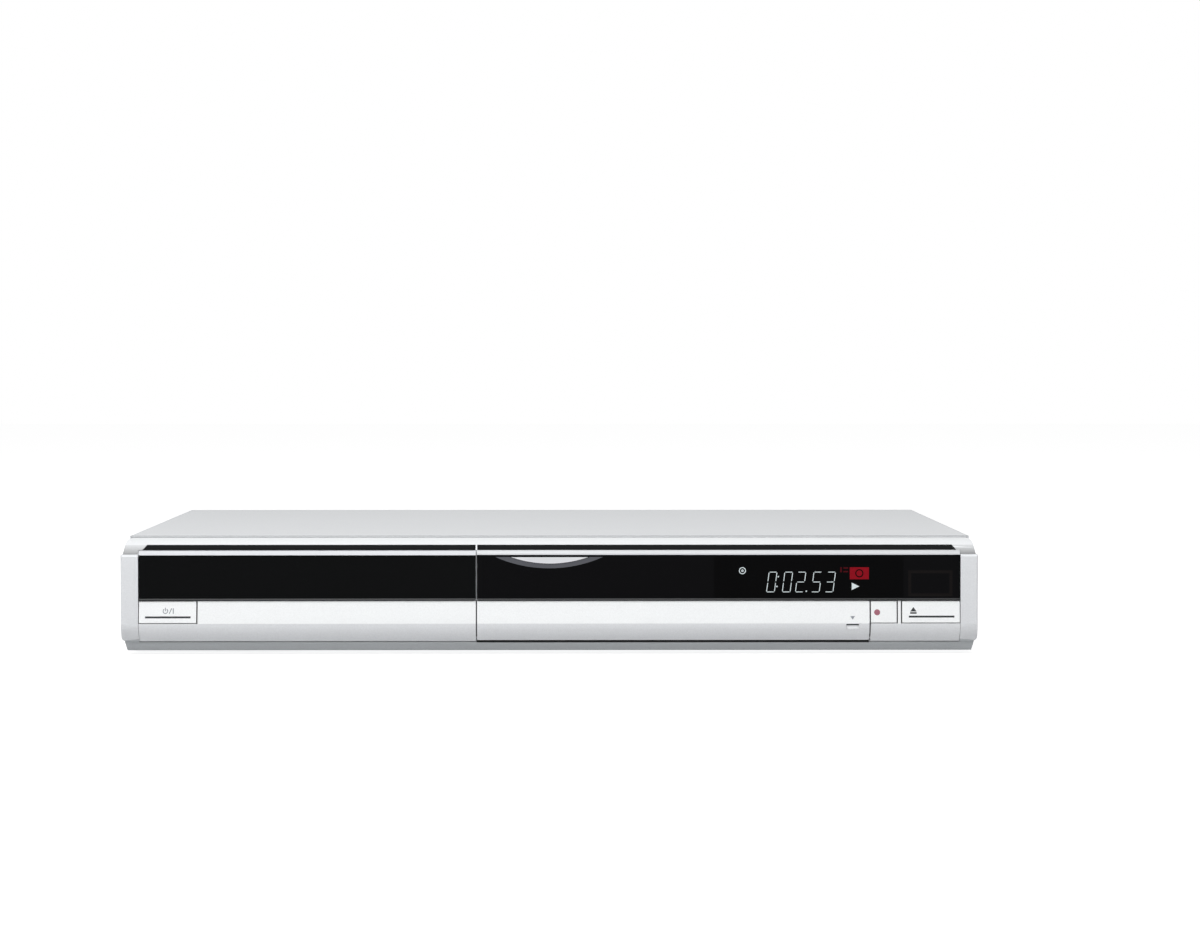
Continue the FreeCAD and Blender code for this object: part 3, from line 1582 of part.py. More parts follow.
def make_scart_sockets():
    """Two stacked audio and video sockets with sloped slots, on the main board."""
    solids = []
    for number, height in enumerate(scart_heights()):
        half = v.scart_width / 2
        tall = v.scart_height / 2
        body = span("scart body %d" % number, (scart_x - half, scart_x + half),
                    (rear_inner - v.scart_depth, rear_face + v.scart_proud), (height - tall, height + tall))
        slot_half = v.scart_slot_width / 2
        slot_tall = v.scart_slot_height / 2
        slot = prism("scart slot %d" % number, "xz", [
            (scart_x - slot_half, height - slot_tall),
            (scart_x + slot_half - slot_tall, height - slot_tall),
            (scart_x + slot_half, height),
            (scart_x + slot_half, height + slot_tall),
            (scart_x - slot_half, height + slot_tall),
        ], (rear_face + v.scart_proud - v.scart_depth, rear_face + v.scart_proud + OVER))
        solids.append(cut("scart %d" % number, body, slot))
    low, high = scart_heights()
    bridge = span("scart frame", (scart_x - v.scart_width / 4, scart_x + v.scart_width / 4),
                  (rear_inner - v.scart_depth, rear_inner - v.scart_depth / 2),
                  (low + v.scart_height / 2, high - v.scart_height / 2))
    return keep("scart_sockets", fuse("scart pair", *solids, bridge))


def make_av_out_sockets():
    """Six phono outputs in two rows on one housing."""
    proud_share = 0.9
    housing_rim = 1.6
    mouth = rear_face + v.rca_length * proud_share
    first = rear_rca_centre(0, 0)
    last = rear_rca_centre(2, 1)
    half = v.rca_radius + housing_rim
    housing = span("phono housing", (first[0] - half, last[0] + half),
                   (rear_inner - v.rca_length, rear_inner), (board_top, last[1] + half))
    pieces = [housing]
    for number, row in rear_rca_spots:
        centre = rear_rca_centre(number, row)
        pieces.append(plug_sleeve("phono out %d %d" % (number, row), centre, rear_inner, plug_seat, mouth,
                                  v.rca_radius, v.rca_bore))
    return keep("av_out_sockets", fuse("phono outputs", *pieces))


def make_digital_sockets():
    """Flat digital video socket and square optical outlet."""
    low = board_top + HDMI_LIFT
    behind = rear_inner - v.scart_depth
    proud = 1.0
    tongue_inset = 2.5
    tongue_low = 0.4
    tongue_high = 0.6
    x = (hdmi_x - v.hdmi_width / 2, hdmi_x + v.hdmi_width / 2)
    shell = hollow("hdmi shell", x, (behind, rear_face + proud), (low, low + v.hdmi_height),
                   HDMI_WALL, "+y")
    foot = span("hdmi foot", x, (behind, rear_inner - HDMI_LIFT), (board_top, low))
    tongue = span("hdmi tongue", (x[0] + tongue_inset, x[1] - tongue_inset), (behind, rear_face - proud),
                  (low + v.hdmi_height * tongue_low, low + v.hdmi_height * tongue_high))
    optical = hdmi_x + v.optical_pitch
    flush = 0.6
    way_depth = 4.0
    way_radius = 2.4
    block = span("optical block", (optical - OPTICAL_HALF, optical + OPTICAL_HALF),
                 (behind, rear_face + flush), (board_top, board_top + OPTICAL_HEIGHT))
    way = rod("optical way in", "y", (optical, board_top + OPTICAL_HEIGHT / 2),
              (rear_face - way_depth, rear_face + flush + OVER), way_radius)
    return keep("digital_sockets", group("digital pair", [
        fuse("hdmi", shell, foot, tongue), cut("optical", block, way)]))


def make_ac_inlet():
    """Two-pin mains inlet: a shell with rounded ends and two pins."""
    flange_proud = 1.0
    flange_side = 3.0
    wall = 2.0
    flat_share = 0.8
    half = v.inlet_width / 2
    tall = v.inlet_tall / 2
    mouth = rear_face + flange_proud
    y = (rear_inner - v.inlet_depth, mouth)
    block = span("inlet block", (inlet_x - half, inlet_x + half), y,
                 (v.inlet_height - tall, v.inlet_height + tall))
    flange = span("inlet flange", (inlet_x - half - flange_side, inlet_x + half + flange_side),
                  (rear_face, mouth), (v.inlet_height - tall - wall, v.inlet_height + tall + wall))
    reach = v.inlet_pin_pitch / 2
    radius = tall - wall
    flat = radius * flat_share
    way = (y[0] + wall, mouth + OVER)
    recess = [rod("inlet left", "y", (inlet_x - reach, v.inlet_height), way, radius),
              rod("inlet right", "y", (inlet_x + reach, v.inlet_height), way, radius),
              span("inlet middle", (inlet_x - reach, inlet_x + reach), way,
                   (v.inlet_height - flat, v.inlet_height + flat))]
    pins = [rod("inlet pin %d" % side, "y",
                (inlet_x + reach * (side - 1), v.inlet_height),
                (y[0], rear_face - flange_proud), v.inlet_pin_radius) for side in (0, 2)]
    shell = cut("inlet shell", fuse("inlet solid", block, flange), *recess)
    seat = span("inlet seat", (inlet_x - half, inlet_x + half), (y[0], y[0] + wall),
                (v.inlet_height - tall, v.inlet_height + tall))
    return keep("ac_inlet", fuse("inlet", shell, seat, *pins))


def make_tuner_unit():
    """Screened tuner can with two aerial sockets."""
    half = v.tuner_width / 2
    can = span("tuner can", (tuner_x - half, tuner_x + half),
               (rear_inner - v.tuner_length, rear_inner),
               (chassis_floor + v.screw_head_height, board_top + v.tuner_height))
    pieces = [can]
    for number, centre in enumerate(aerial_centres()):
        pieces.append(plug_sleeve("aerial socket %d" % number, centre, rear_inner, plug_seat, back,
                                  v.aerial_radius, v.aerial_bore))
    return keep("tuner_unit", fuse("tuner", *pieces))


# Fan

# The frame's wall round its way, the thickness of its arms, the shaft and its end gap
FAN_WALL = 1.5
FAN_ARM = 1.6
FAN_SHAFT_RADIUS = 1.5
FAN_SHAFT_GAP = 2.0


def make_fan_frame():
    """Square fan frame with a round way through and a motor mount on three arms."""
    half = fan_side / 2
    y = (fan_front, rear_inner)
    block = span("fan block", (fan_x - half, fan_x + half), y, (fan_bottom, fan_bottom + fan_side))
    centre = (fan_x, fan_middle_z)
    way = rod("fan way", "y", centre, (y[0] - OVER, y[1] + OVER), half - FAN_WALL)
    ring = cut("fan ring", block, way)
    thick = (y[0], y[0] + FAN_ARM)
    arm = 1.5
    sunk = 0.5
    mount = rod("fan mount", "y", centre, thick, v.fan_hub_radius)
    shaft = rod("fan shaft", "y", centre, (y[0], y[1] - FAN_SHAFT_GAP), FAN_SHAFT_RADIUS)
    arms = [span("fan arm upright", (fan_x - arm, fan_x + arm), thick,
                 (fan_bottom + sunk, fan_bottom + fan_side - sunk)),
            span("fan arm level", (fan_x - half + sunk, fan_x + half - sunk), thick,
                 (fan_middle_z - arm, fan_middle_z + arm))]
    return keep("fan_frame", fuse("fan", ring, mount, shaft, *arms))


def make_fan_rotor():
    """Hub and pitched blades, which turn on the frame's shaft."""
    centre = (fan_x, fan_middle_z)
    rear_gap = 1.0
    blade_thickness = 1.0
    blade_inset = 0.8
    start = fan_front + FAN_ARM + v.slide_gap
    end = rear_inner - rear_gap
    hub = rod("rotor hub", "y", centre, (start, end), v.fan_hub_radius)
    pieces = [hub]
    count = int(float(v.fan_blade_count))
    tip_gap = 0.9
    reach = fan_side / 2 - FAN_WALL - tip_gap
    for number in range(count):
        blade = doc.addObject("Part::Box", "rotor_blade_%d" % number)
        bind(blade, "Length", reach)
        bind(blade, "Width", end - start - blade_inset * 2)
        blade.Height = blade_thickness
        turn = FreeCAD.Rotation(Vector(0, 1, 0), FULL_TURN * number / count)
        pitch = FreeCAD.Rotation(Vector(1, 0, 0), -float(v.fan_blade_pitch))
        blade.Placement = FreeCAD.Placement(Vector(), turn.multiply(pitch))
        bind(blade, "Placement.Base.x", fan_x)
        bind(blade, "Placement.Base.y", start + blade_inset)
        bind(blade, "Placement.Base.z", fan_middle_z)
        pieces.append(blade)
    envelope = rod("rotor envelope", "y", centre, (start, end), reach)
    shaft_end = rear_inner - FAN_SHAFT_GAP + v.slide_gap
    bore = rod("rotor bore", "y", centre, (start - OVER, shaft_end), FAN_SHAFT_RADIUS + v.running_gap)
    round_rotor = common("rotor round", fuse("rotor solid", *pieces), envelope)
    return keep("fan_rotor", cut("rotor", round_rotor, bore))


# Disc drive

disc_y = place("disc_y", front + v.disc_place)
tray_front = place("tray_front", front + v.gloss_face + v.door_thickness)
tray_back = place("tray_back", front + v.tray_tail)
gear_y = place("gear_y", front + v.gear_row)
rack_x = place("rack_x", drive_x - tray_half + v.rack_inset)
rack_pitch_radius = v.rack_module * v.rack_gear_teeth / 2
tray_gear_x = place("tray_gear_x", rack_x + rack_pitch_radius)
train_distance = v.train_module * (v.train_gear_teeth + v.pinion_teeth) / 2
pulley_x = place("pulley_x", tray_gear_x + train_distance)
motor_x = place("motor_x", pulley_x + v.belt_run)
pulley_low = place("pulley_low", v.gear_plate_top + v.slide_gap)
pulley_high = place("pulley_high", pulley_low + v.pulley_height)
# The pinion is as high as its pulley
pinion_high = place("pinion_high", pulley_high + v.pulley_height)
train_low = place("train_low", pulley_high + v.slide_gap)
train_high = place("train_high", v.rack_underside - v.slide_gap)
rack_gear_high = place("rack_gear_high", v.tray_underside - v.slide_gap)


def make_drive_case():
    """Steel pan of the disc drive, open above and in front."""
    steel = v.sheet_steel
    x = (drive_x - drive_half, drive_x + drive_half)
    outer = span("drive outside", x, (drive_front, drive_back), (v.drive_bottom, v.drive_top - steel))
    inner = span("drive inside", (x[0] + steel, x[1] - steel), (drive_front - OVER, drive_back - steel),
                 (v.drive_bottom + steel, v.drive_top + OVER))
    return keep("drive_case", cut("drive pan", outer, inner))


def make_drive_lid():
    """Lid of the disc drive with the round opening that holds the clamper."""
    steel = v.sheet_steel
    x = (drive_x - drive_half, drive_x + drive_half)
    plate = span("lid plate", x, (drive_front, drive_back), (v.drive_top - steel, v.drive_top))
    hole = rod("lid hole", "z", (drive_x, disc_y), (v.drive_top - steel - OVER, v.drive_top + OVER),
               v.clamp_hole_radius)
    return keep("drive_lid", cut("lid", plate, hole))


# The loader's end gaps in its pan, and the hinge ears: gap to the frame, thickness, half length, rise
LOADER_END_GAP = 1.0
EAR_GAP = 3.0
EAR_THICKNESS = 3.0
EAR_HALF = 4.0
EAR_RISE = 6.0


def make_loader_base():
    """Moulded base: grooved rails for the tray, the gear plate and the traverse's bearings."""
    floor = v.drive_bottom + v.sheet_steel
    start = drive_front + LOADER_END_GAP
    wall = 2.0
    cam_gap = 1.6
    seat_share = 2
    pieces = []
    for number, x in enumerate(((drive_x - rail_outer, drive_x - rail_inner),
                                (drive_x + rail_inner, drive_x + rail_outer))):
        pieces.append(span("rail %d" % number, x, (start, drive_back - v.sheet_steel - LOADER_END_GAP),
                           (floor, v.rail_top)))
    inner = (drive_x - rail_outer, drive_x + rail_outer)
    plate = span("gear plate", inner, (start, front + v.traverse_front - v.cam_thickness - cam_gap),
                 (v.gear_plate_top - v.gear_plate_thickness, v.gear_plate_top))
    foot = span("gear plate foot", inner, (start, start + wall), (floor, v.gear_plate_top))
    hinge_y = front + v.traverse_hinge
    ear_top = v.traverse_floor + EAR_RISE
    beam = span("rear beam", inner, (hinge_y + EAR_HALF, hinge_y + EAR_HALF + EAR_THICKNESS),
                (floor, ear_top))
    near_side = v.traverse_half_width + EAR_GAP
    far_side = near_side + EAR_THICKNESS
    ears = []
    for number, x in enumerate(((drive_x - far_side, drive_x - near_side),
                                (drive_x + near_side, drive_x + far_side))):
        ears.append(span("hinge ear %d" % number, x, (hinge_y - EAR_HALF, hinge_y + EAR_HALF),
                         (floor, ear_top)))
    posts = [rod("tray gear post", "z", (tray_gear_x, gear_y), (v.gear_plate_top, rack_gear_high),
                 v.gear_post_radius),
             rod("pulley gear post", "z", (pulley_x, gear_y), (v.gear_plate_top, pinion_high),
                 v.gear_post_radius),
             tube("tray gear seat", "z", (tray_gear_x, gear_y), (v.gear_plate_top, train_low - v.slide_gap),
                  v.gear_post_radius * seat_share, v.gear_post_radius)]
    whole = fuse("base solid", *pieces, plate, foot, beam, *ears, *posts)
    groove_z = (v.tray_underside - v.slide_gap / 2, v.tray_underside + v.tray_flange_height + v.slide_gap / 2)
    groove_reach = rail_inner + v.rail_groove
    cuts = [span("rail groove", (drive_x - groove_reach, drive_x + groove_reach),
                 (drive_front, drive_back), groove_z),
            rod("motor shaft way", "z", (motor_x, gear_y),
                (v.gear_plate_top - v.gear_plate_thickness - OVER, v.gear_plate_top + OVER),
                v.motor_shaft_radius + v.slide_gap)]
    axis = (hinge_y, traverse_axis_z)
    cuts.append(rod("traverse hinge bore", "x", axis,
                    (drive_x - far_side - OVER, drive_x + far_side + OVER),
                    v.cam_pin_radius + v.running_gap))
    return keep("loader_base", cut("base", whole, *cuts))


traverse_axis_z = place("traverse_axis_z", v.traverse_floor + v.traverse_plate / 2)
traverse_front_y = place("traverse_front_y", front + v.traverse_front)
traverse_hinge_y = place("traverse_hinge_y", front + v.traverse_hinge)


def make_disc_tray():
    """The tray with its disc wells, centre slot, side flanges and the rack under it."""
    half = tray_half
    deck = span("tray deck", (drive_x - half, drive_x + half), (tray_front, tray_back),
                (v.tray_underside, v.tray_deck))
    reach = half + v.tray_flange
    flange = span("tray flange", (drive_x - reach, drive_x + reach),
                  (drive_front + LOADER_END_GAP, tray_back),
                  (v.tray_underside, v.tray_underside + v.tray_flange_height))
    centre = (drive_x, disc_y)
    above = v.tray_deck + OVER
    big = rod("disc well", "z", centre, (v.tray_deck - v.disc_well_depth, above), v.disc_well_radius)
    small = rod("small disc well", "z", centre, (v.tray_deck - v.small_well_depth, above),
                v.small_well_radius)
    slot_half = v.tray_slot_width / 2
    slot = span("centre slot", (drive_x - slot_half, drive_x + slot_half), (disc_y, tray_back + OVER),
                (v.tray_underside - OVER, above))
    slot_end = rod("centre slot end", "z", centre, (v.tray_underside - OVER, above), slot_half)
    shaped = cut("tray shaped", fuse("tray solid", deck, flange), big, small, slot, slot_end)
    return keep("disc_tray", fuse("tray", shaped, make_rack(), *tray_lugs()))


def tray_lugs():
    """Two lugs between the tray and its door, which the door clips to."""
    lugs = []
    place_share = 0.67
    half = 6.0
    thick = 3.0
    for number, side in enumerate((-1, 1)):
        middle = drive_x + tray_half * place_share * side
        lugs.append(span("door lug %d" % number, (middle - half, middle + half),
                         (tray_front, tray_front + thick), (v.tray_underside - thick, v.tray_underside)))
    return lugs


def make_rack():
    """Straight rack: a bar with teeth of 20 degree flanks facing the gear."""
    end = 8.0
    bar = span("rack bar", (rack_x - v.rack_body, rack_x - v.rack_module * TOOTH_ROOT),
               (gear_y - end, gear_y + v.tray_travel + end), (v.rack_underside, v.tray_underside))
    rack = doc.addObject("Part::Feature", "rack_teeth")
    module = float(v.rack_module)
    pitch = math.pi * module
    reach = float(v.tray_travel)
    slope = math.tan(PRESSURE_ANGLE)
    tip = module * TOOTH_TIP
    root_depth = module * TOOTH_ROOT
    half = pitch / 4 - float(v.tooth_backlash) / 2
    teeth = []
    for number in range(-2, int(reach / pitch) + 3):
        y = float(gear_y) + number * pitch
        x = float(rack_x)
        corners = [
            Vector(x - root_depth, y - half - root_depth * slope, 0),
            Vector(x + tip, y - half + tip * slope, 0),
            Vector(x + tip, y + half - tip * slope, 0),
            Vector(x - root_depth, y + half + root_depth * slope, 0),
        ]
        face = Part.Face(Part.makePolygon(corners + corners[:1]))
        tooth = face.extrude(Vector(0, 0, float(v.tray_underside - v.rack_underside)))
        tooth.translate(Vector(0, 0, float(v.rack_underside)))
        teeth.append(tooth)
    rack.Shape = Part.makeCompound(teeth)
    return fuse("rack", bar, rack)


def involute_face(module, teeth, backlash):
    """A spur gear's face about the origin, with a tooth centred on +X."""
    pitch_radius = module * teeth / 2
    base_radius = pitch_radius * math.cos(PRESSURE_ANGLE)
    tip_radius = pitch_radius + module * TOOTH_TIP
    root_radius = pitch_radius - module * TOOTH_ROOT
    start_radius = max(base_radius, root_radius)

    def spread(radius):
        """How far the flank has turned at a radius."""
        angle = math.acos(min(1.0, base_radius / radius))
        return math.tan(angle) - angle

    half_tooth = math.pi / (2 * teeth) - backlash / (2 * pitch_radius)
    flank = []
    for step in range(FLANK_STEPS + 1):
        radius = start_radius + (tip_radius - start_radius) * step / FLANK_STEPS
        flank.append((radius, half_tooth + spread(pitch_radius) - spread(radius)))
    points = []
    for tooth in range(teeth):
        middle = 2 * math.pi * tooth / teeth
        side = [(root_radius, middle - flank[0][1])] if root_radius < start_radius else []
        side += [(radius, middle - angle) for radius, angle in flank]
        side += [(radius, middle + angle) for radius, angle in reversed(flank)]
        side += [(root_radius, middle + flank[0][1])] if root_radius < start_radius else []
        points += side
    corners = [Vector(radius * math.cos(angle), radius * math.sin(angle), 0) for radius, angle in points]
    return Part.Face(Part.makePolygon(corners + corners[:1]))


def gear_wheel(name, module, teeth, turn, centre, ends):
    """A toothed wheel, turned so that its first tooth points at an angle in degrees."""
    wheel = doc.addObject("Part::Feature", label(name))
    face = involute_face(float(module), int(float(teeth)), float(v.tooth_backlash))
    solid = face.extrude(Vector(0, 0, float(as_size(ends[1]) - ends[0])))
    solid.rotate(Vector(), Vector(0, 0, 1), turn)
    solid.translate(Vector(float(centre[0]), float(centre[1]), float(ends[0])))
    wheel.Shape = solid
    return wheel


def make_tray_gear():
    """The two-step gear that drives the rack."""
    centre = (tray_gear_x, gear_y)
    half_pitch = FULL_TURN / 2 / float(v.rack_gear_teeth)
    upper = gear_wheel("rack gear", v.rack_module, v.rack_gear_teeth, FULL_TURN / 2 + half_pitch, centre,
                       (train_high, rack_gear_high))
    lower = gear_wheel("train gear", v.train_module, v.train_gear_teeth, 0, centre, (train_low, train_high))
    bore = rod("tray gear bore", "z", centre, (train_low - OVER, rack_gear_high + OVER),
               v.gear_post_radius + v.running_gap)
    return keep("tray_gear", cut("tray gear holed", fuse("tray gear solid", upper, lower), bore))


def grooved_pulley(name, centre, radius, ends):
    """A pulley whose groove takes the belt between two flanges."""
    middle = (ends[0] + ends[1]) / 2
    half = v.belt_height / 2 + v.running_gap
    groove = tube(name + " groove", "z", centre, (middle - half, middle + half),
                  radius + v.pulley_flange + OVER, radius)
    return cut(name + " grooved", rod(name + " disc", "z", centre, ends, radius + v.pulley_flange), groove)


def make_pulley_gear():
    """Belt pulley with the pinion that drives the tray gear."""
    centre = (pulley_x, gear_y)
    pulley = grooved_pulley("pulley", centre, v.pulley_radius, (pulley_low, pulley_high))
    half_pitch = FULL_TURN / 2 / float(v.pinion_teeth)
    pinion = gear_wheel("pinion", v.train_module, v.pinion_teeth, FULL_TURN / 2 + half_pitch, centre,
                        (pulley_high, pinion_high))
    bore = rod("pulley bore", "z", centre, (pulley_low - OVER, pinion_high + OVER),
               v.gear_post_radius + v.running_gap)
    return keep("pulley_gear", cut("pulley gear holed", fuse("pulley gear solid", pulley, pinion), bore))


def make_motor_pulley():
    """The small pulley on the loading motor's shaft."""
    centre = (motor_x, gear_y)
    pulley = grooved_pulley("small pulley", centre, v.motor_pulley_radius, (pulley_low, pulley_high))
    bore = rod("small pulley bore", "z", centre, (pulley_low - OVER, pulley_high + OVER),
               v.motor_shaft_radius + v.running_gap)
    return keep("motor_pulley", cut("small pulley holed", pulley, bore))


def make_loading_motor():
    """Round motor under the gear plate, its shaft through the plate."""
    centre = (motor_x, gear_y)
    top = v.gear_plate_top - v.gear_plate_thickness
    can = rod("motor can", "z", centre, (top - v.loading_motor_height, top), v.loading_motor_radius)
    shaft = rod("motor shaft", "z", centre, (top, pulley_high), v.motor_shaft_radius)
    return keep("loading_motor", fuse("motor", can, shaft))


def make_loading_belt():
    """The rubber belt, with a running gap to the grooves."""
    middle = (pulley_low + pulley_high) / 2
    ends = (middle - v.belt_height / 2, middle + v.belt_height / 2)
    outer = belt_feature("belt outside", v.running_gap * 2 + v.belt_thickness, ends)
    inner = belt_feature("belt inside", v.running_gap * 2, (ends[0] - OVER, ends[1] + OVER))
    return keep("loading_belt", cut("belt", outer, inner))


def belt_feature(name, offset, ends):
    """The solid inside a belt line at an offset from the grooves: two discs and a web."""
    big = v.pulley_radius + offset
    small = v.motor_pulley_radius + offset
    lean = (big - small) / v.belt_run
    rise = root(1 - lean * lean)
    web = prism(name + " web", "xy", [
        (pulley_x + big * lean, gear_y - big * rise),
        (motor_x + small * lean, gear_y - small * rise),
        (motor_x + small * lean, gear_y + small * rise),
        (pulley_x + big * lean, gear_y + big * rise),
    ], ends)
    return fuse(name, rod(name + " big", "z", (pulley_x, gear_y), ends, big),
                rod(name + " small", "z", (motor_x, gear_y), ends, small), web)


# The gap between the cam plate and the tilting frame
CAM_GAP = 1.0
cam_front = place("cam_front", traverse_front_y - v.cam_thickness - CAM_GAP)
cam_x = place("cam_x", drive_x + v.cam_pin_offset)


def cam_drop():
    """How far the traverse's front pin falls at the end of its tilt."""
    arm = traverse_hinge_y - traverse_front_y + v.cam_thickness
    return arm * math.sin(math.radians(float(v.traverse_drop)))


def make_cam_slider():
    """Sliding plate whose slanted slot lifts and lowers the traverse."""
    y = (cam_front, cam_front + v.cam_thickness)
    drop = cam_drop()
    end_share = 0.6
    below = 4.0
    above = 2.2
    plate = span("cam plate", (cam_x - v.cam_travel * end_share, cam_x + v.cam_travel * (1 + end_share)), y,
                 (traverse_axis_z - drop - below, traverse_axis_z + above))
    half = v.cam_pin_radius + v.slide_gap
    slant = 1.15
    level = 2.5
    slot = prism("cam slot", "xz", [
        (cam_x - level, traverse_axis_z - half),
        (cam_x, traverse_axis_z - half * slant),
        (cam_x + v.cam_travel, traverse_axis_z - drop - half * slant),
        (cam_x + v.cam_travel + level, traverse_axis_z - drop - half),
        (cam_x + v.cam_travel + level, traverse_axis_z - drop + half),
        (cam_x + v.cam_travel, traverse_axis_z - drop + half * slant),
        (cam_x, traverse_axis_z + half * slant),
        (cam_x - level, traverse_axis_z + half),
    ], (y[0] - OVER, y[1] + OVER))
    return keep("cam_slider", cut("cam", plate, slot))


def make_traverse_frame():
    """The tilting frame that carries spindle, pickup, rods and sled drive."""
    half = v.traverse_half_width
    barrel_rim = 0.6
    pin_reach = EAR_GAP + 2.0
    cam_pin_gap = 0.2
    cam_pin_root = 2.0
    block_half = 3.0
    rim = 1.0
    screw_half = 2.5
    screw_end = 1.0
    motor_low = 5.0
    motor_high = 4.0
    motor_start = 8.0
    motor_seat = 10.0
    cradle_end = 30.0
    sunk = 0.5
    top = v.traverse_floor + v.traverse_plate
    plate = span("traverse plate", (drive_x - half, drive_x + half), (traverse_front_y, traverse_hinge_y),
                 (v.traverse_floor, top))
    axis = (traverse_hinge_y, traverse_axis_z)
    barrel = rod("traverse barrel", "x", axis, (drive_x - half, drive_x + half),
                 v.traverse_plate / 2 + barrel_rim)
    pins = half + pin_reach
    hinge_pins = rod("traverse hinge pins", "x", axis, (drive_x - pins, drive_x + pins), v.cam_pin_radius)
    cam_pin = rod("cam pin", "y", (cam_x, traverse_axis_z),
                  (cam_front + cam_pin_gap, traverse_front_y + cam_pin_root), v.cam_pin_radius)
    blocks = []
    for number, y in enumerate((rod_front, rod_back)):
        for side in (-1, 1):
            middle = drive_x + v.rod_offset * side
            blocks.append(span("rod block %d %d" % (number, side + 1),
                               (middle - block_half, middle + block_half),
                               (y, y + ROD_SEAT), (top, v.rod_height + v.rod_radius + rim)))
    screw_x = drive_x + v.sled_screw_offset
    blocks.append(span("screw block", (screw_x - screw_half, screw_x + screw_half),
                       (rod_front, rod_front + ROD_SEAT), (top, v.rod_height + v.sled_screw_radius + rim)))
    seat = rod_back + motor_start
    blocks.append(span("sled motor seat", (screw_x - motor_low, screw_x + motor_high),
                       (seat, seat + motor_seat),
                       (top - sunk, v.rod_height - v.sled_motor_radius + barrel_rim)))
    whole = fuse("traverse solid", plate, barrel, hinge_pins, cam_pin, *blocks)
    cuts = [rod("rod hole %d" % side, "y", (drive_x + v.rod_offset * (side - 1), v.rod_height),
                (rod_front - OVER, rod_back + ROD_SEAT + OVER), v.rod_radius) for side in (0, 2)]
    cuts.append(rod("screw hole", "y", (screw_x, v.rod_height),
                    (rod_front + screw_end, rod_front + ROD_SEAT + OVER),
                    v.sled_screw_radius + v.running_gap))
    cuts.append(rod("sled motor cradle", "y", (screw_x, v.rod_height),
                    (rod_back + SLED_MOTOR_GAP, rod_back + cradle_end),
                    v.sled_motor_radius))
    return keep("traverse_frame", cut("traverse", whole, *cuts))


pickup_y = place("pickup_y", disc_y + v.pickup_near)
# How far the rods reach into their seats, where the sled motor starts, and the pickup's front
ROD_SEAT = 4.0
SLED_MOTOR_GAP = 6.0
PICKUP_AHEAD = 5.0
rod_lead = 14.0
rod_front = place("rod_front", pickup_y - rod_lead)
rod_back = place("rod_back", pickup_y + v.pickup_length + v.pickup_travel)


# How far the spindle's end lies under the turntable's face
SPINDLE_RECESS = 1.0


def make_spindle_motor():
    """The motor under the turntable with its shaft."""
    centre = (drive_x, disc_y)
    low = v.traverse_floor + v.traverse_plate
    can = rod("spindle can", "z", centre, (low, low + v.spindle_motor_height), v.spindle_motor_radius)
    shaft = rod("spindle shaft", "z", centre,
                (low + v.spindle_motor_height, v.turntable_top - SPINDLE_RECESS), v.spindle_shaft_radius)
    return keep("spindle_motor", fuse("spindle", can, shaft))


def make_turntable():
    """Round table with the raised hub that centres a disc."""
    centre = (drive_x, disc_y)
    hub_draft = 1.2
    table = rod("table", "z", centre, (v.turntable_bottom, v.turntable_top), v.turntable_radius)
    hub = taper("hub", "z", centre, (v.turntable_top, v.turntable_top + v.hub_height),
                (v.hub_radius, v.hub_radius - hub_draft))
    shaft_end = v.turntable_top - SPINDLE_RECESS + v.running_gap
    bore = rod("table bore", "z", centre, (v.turntable_bottom - OVER, shaft_end),
               v.spindle_shaft_radius + v.running_gap)
    return keep("turntable", cut("table holed", fuse("table solid", table, hub), bore))


# How deep the lens sits in its seat, and how high its dome stands over the rim
LENS_SEAT = 2.6
LENS_DOME = 0.8


def make_laser_pickup():
    """The pickup block on its two rods, with an arm to the lead screw."""
    half = v.pickup_width / 2
    wing_rise = 3.0
    wing_inset = 6.0
    arm_inset = 10.0
    arm_drop = 1.0
    screw_gap = 0.2
    tower_drop = 1.4
    tower_rim = 1.5
    start = pickup_y - PICKUP_AHEAD
    y = (start, start + v.pickup_length)
    block = span("pickup block", (drive_x - half, drive_x + half), y, (v.pickup_bottom, v.pickup_top))
    wing = v.rod_offset + wing_rise
    wings = span("pickup wings", (drive_x - wing, drive_x + wing),
                 (y[0] + wing_inset, y[1] - wing_inset), (v.pickup_bottom, v.rod_height + wing_rise))
    arm_end = drive_x + v.sled_screw_offset - v.sled_screw_radius - screw_gap
    arm = span("screw arm", (drive_x + v.rod_offset, arm_end), (y[0] + arm_inset, y[1] - arm_inset),
               (v.rod_height - arm_drop, v.rod_height + wing_rise))
    tower = rod("lens tower", "z", (drive_x, pickup_y), (v.pickup_top, v.lens_top - tower_drop),
                v.lens_radius + tower_rim)
    well = rod("lens seat", "z", (drive_x, pickup_y), (v.lens_top - LENS_SEAT, v.lens_top), v.lens_radius)
    ways = [rod("rod way %d" % side, "y", (drive_x + v.rod_offset * (side - 1), v.rod_height),
                (y[0] - OVER, y[1] + OVER), v.rod_radius + v.running_gap) for side in (0, 2)]
    return keep("laser_pickup", cut("pickup", fuse("pickup solid", block, wings, arm, tower), well, *ways))


def make_pickup_lens():
    """The objective lens: a low dome in its seat on the pickup."""
    centre = (drive_x, pickup_y)
    dome_root = 0.8
    dome_flat = 0.45
    disc = rod("lens disc", "z", centre, (v.lens_top - LENS_SEAT, v.lens_top - LENS_DOME), v.lens_radius)
    dome = taper("lens dome", "z", centre, (v.lens_top - LENS_DOME, v.lens_top),
                 (v.lens_radius * dome_root, v.lens_radius * dome_flat))
    return keep("pickup_lens", fuse("lens", disc, dome))


def make_guide_rods():
    """Two polished rods that the pickup slides on."""
    rods = [rod("guide rod %d" % side, "y", (drive_x + v.rod_offset * (side - 1), v.rod_height),
                (rod_front, rod_back + ROD_SEAT), v.rod_radius) for side in (0, 2)]
    return keep("guide_rods", group("guide rod pair", rods))


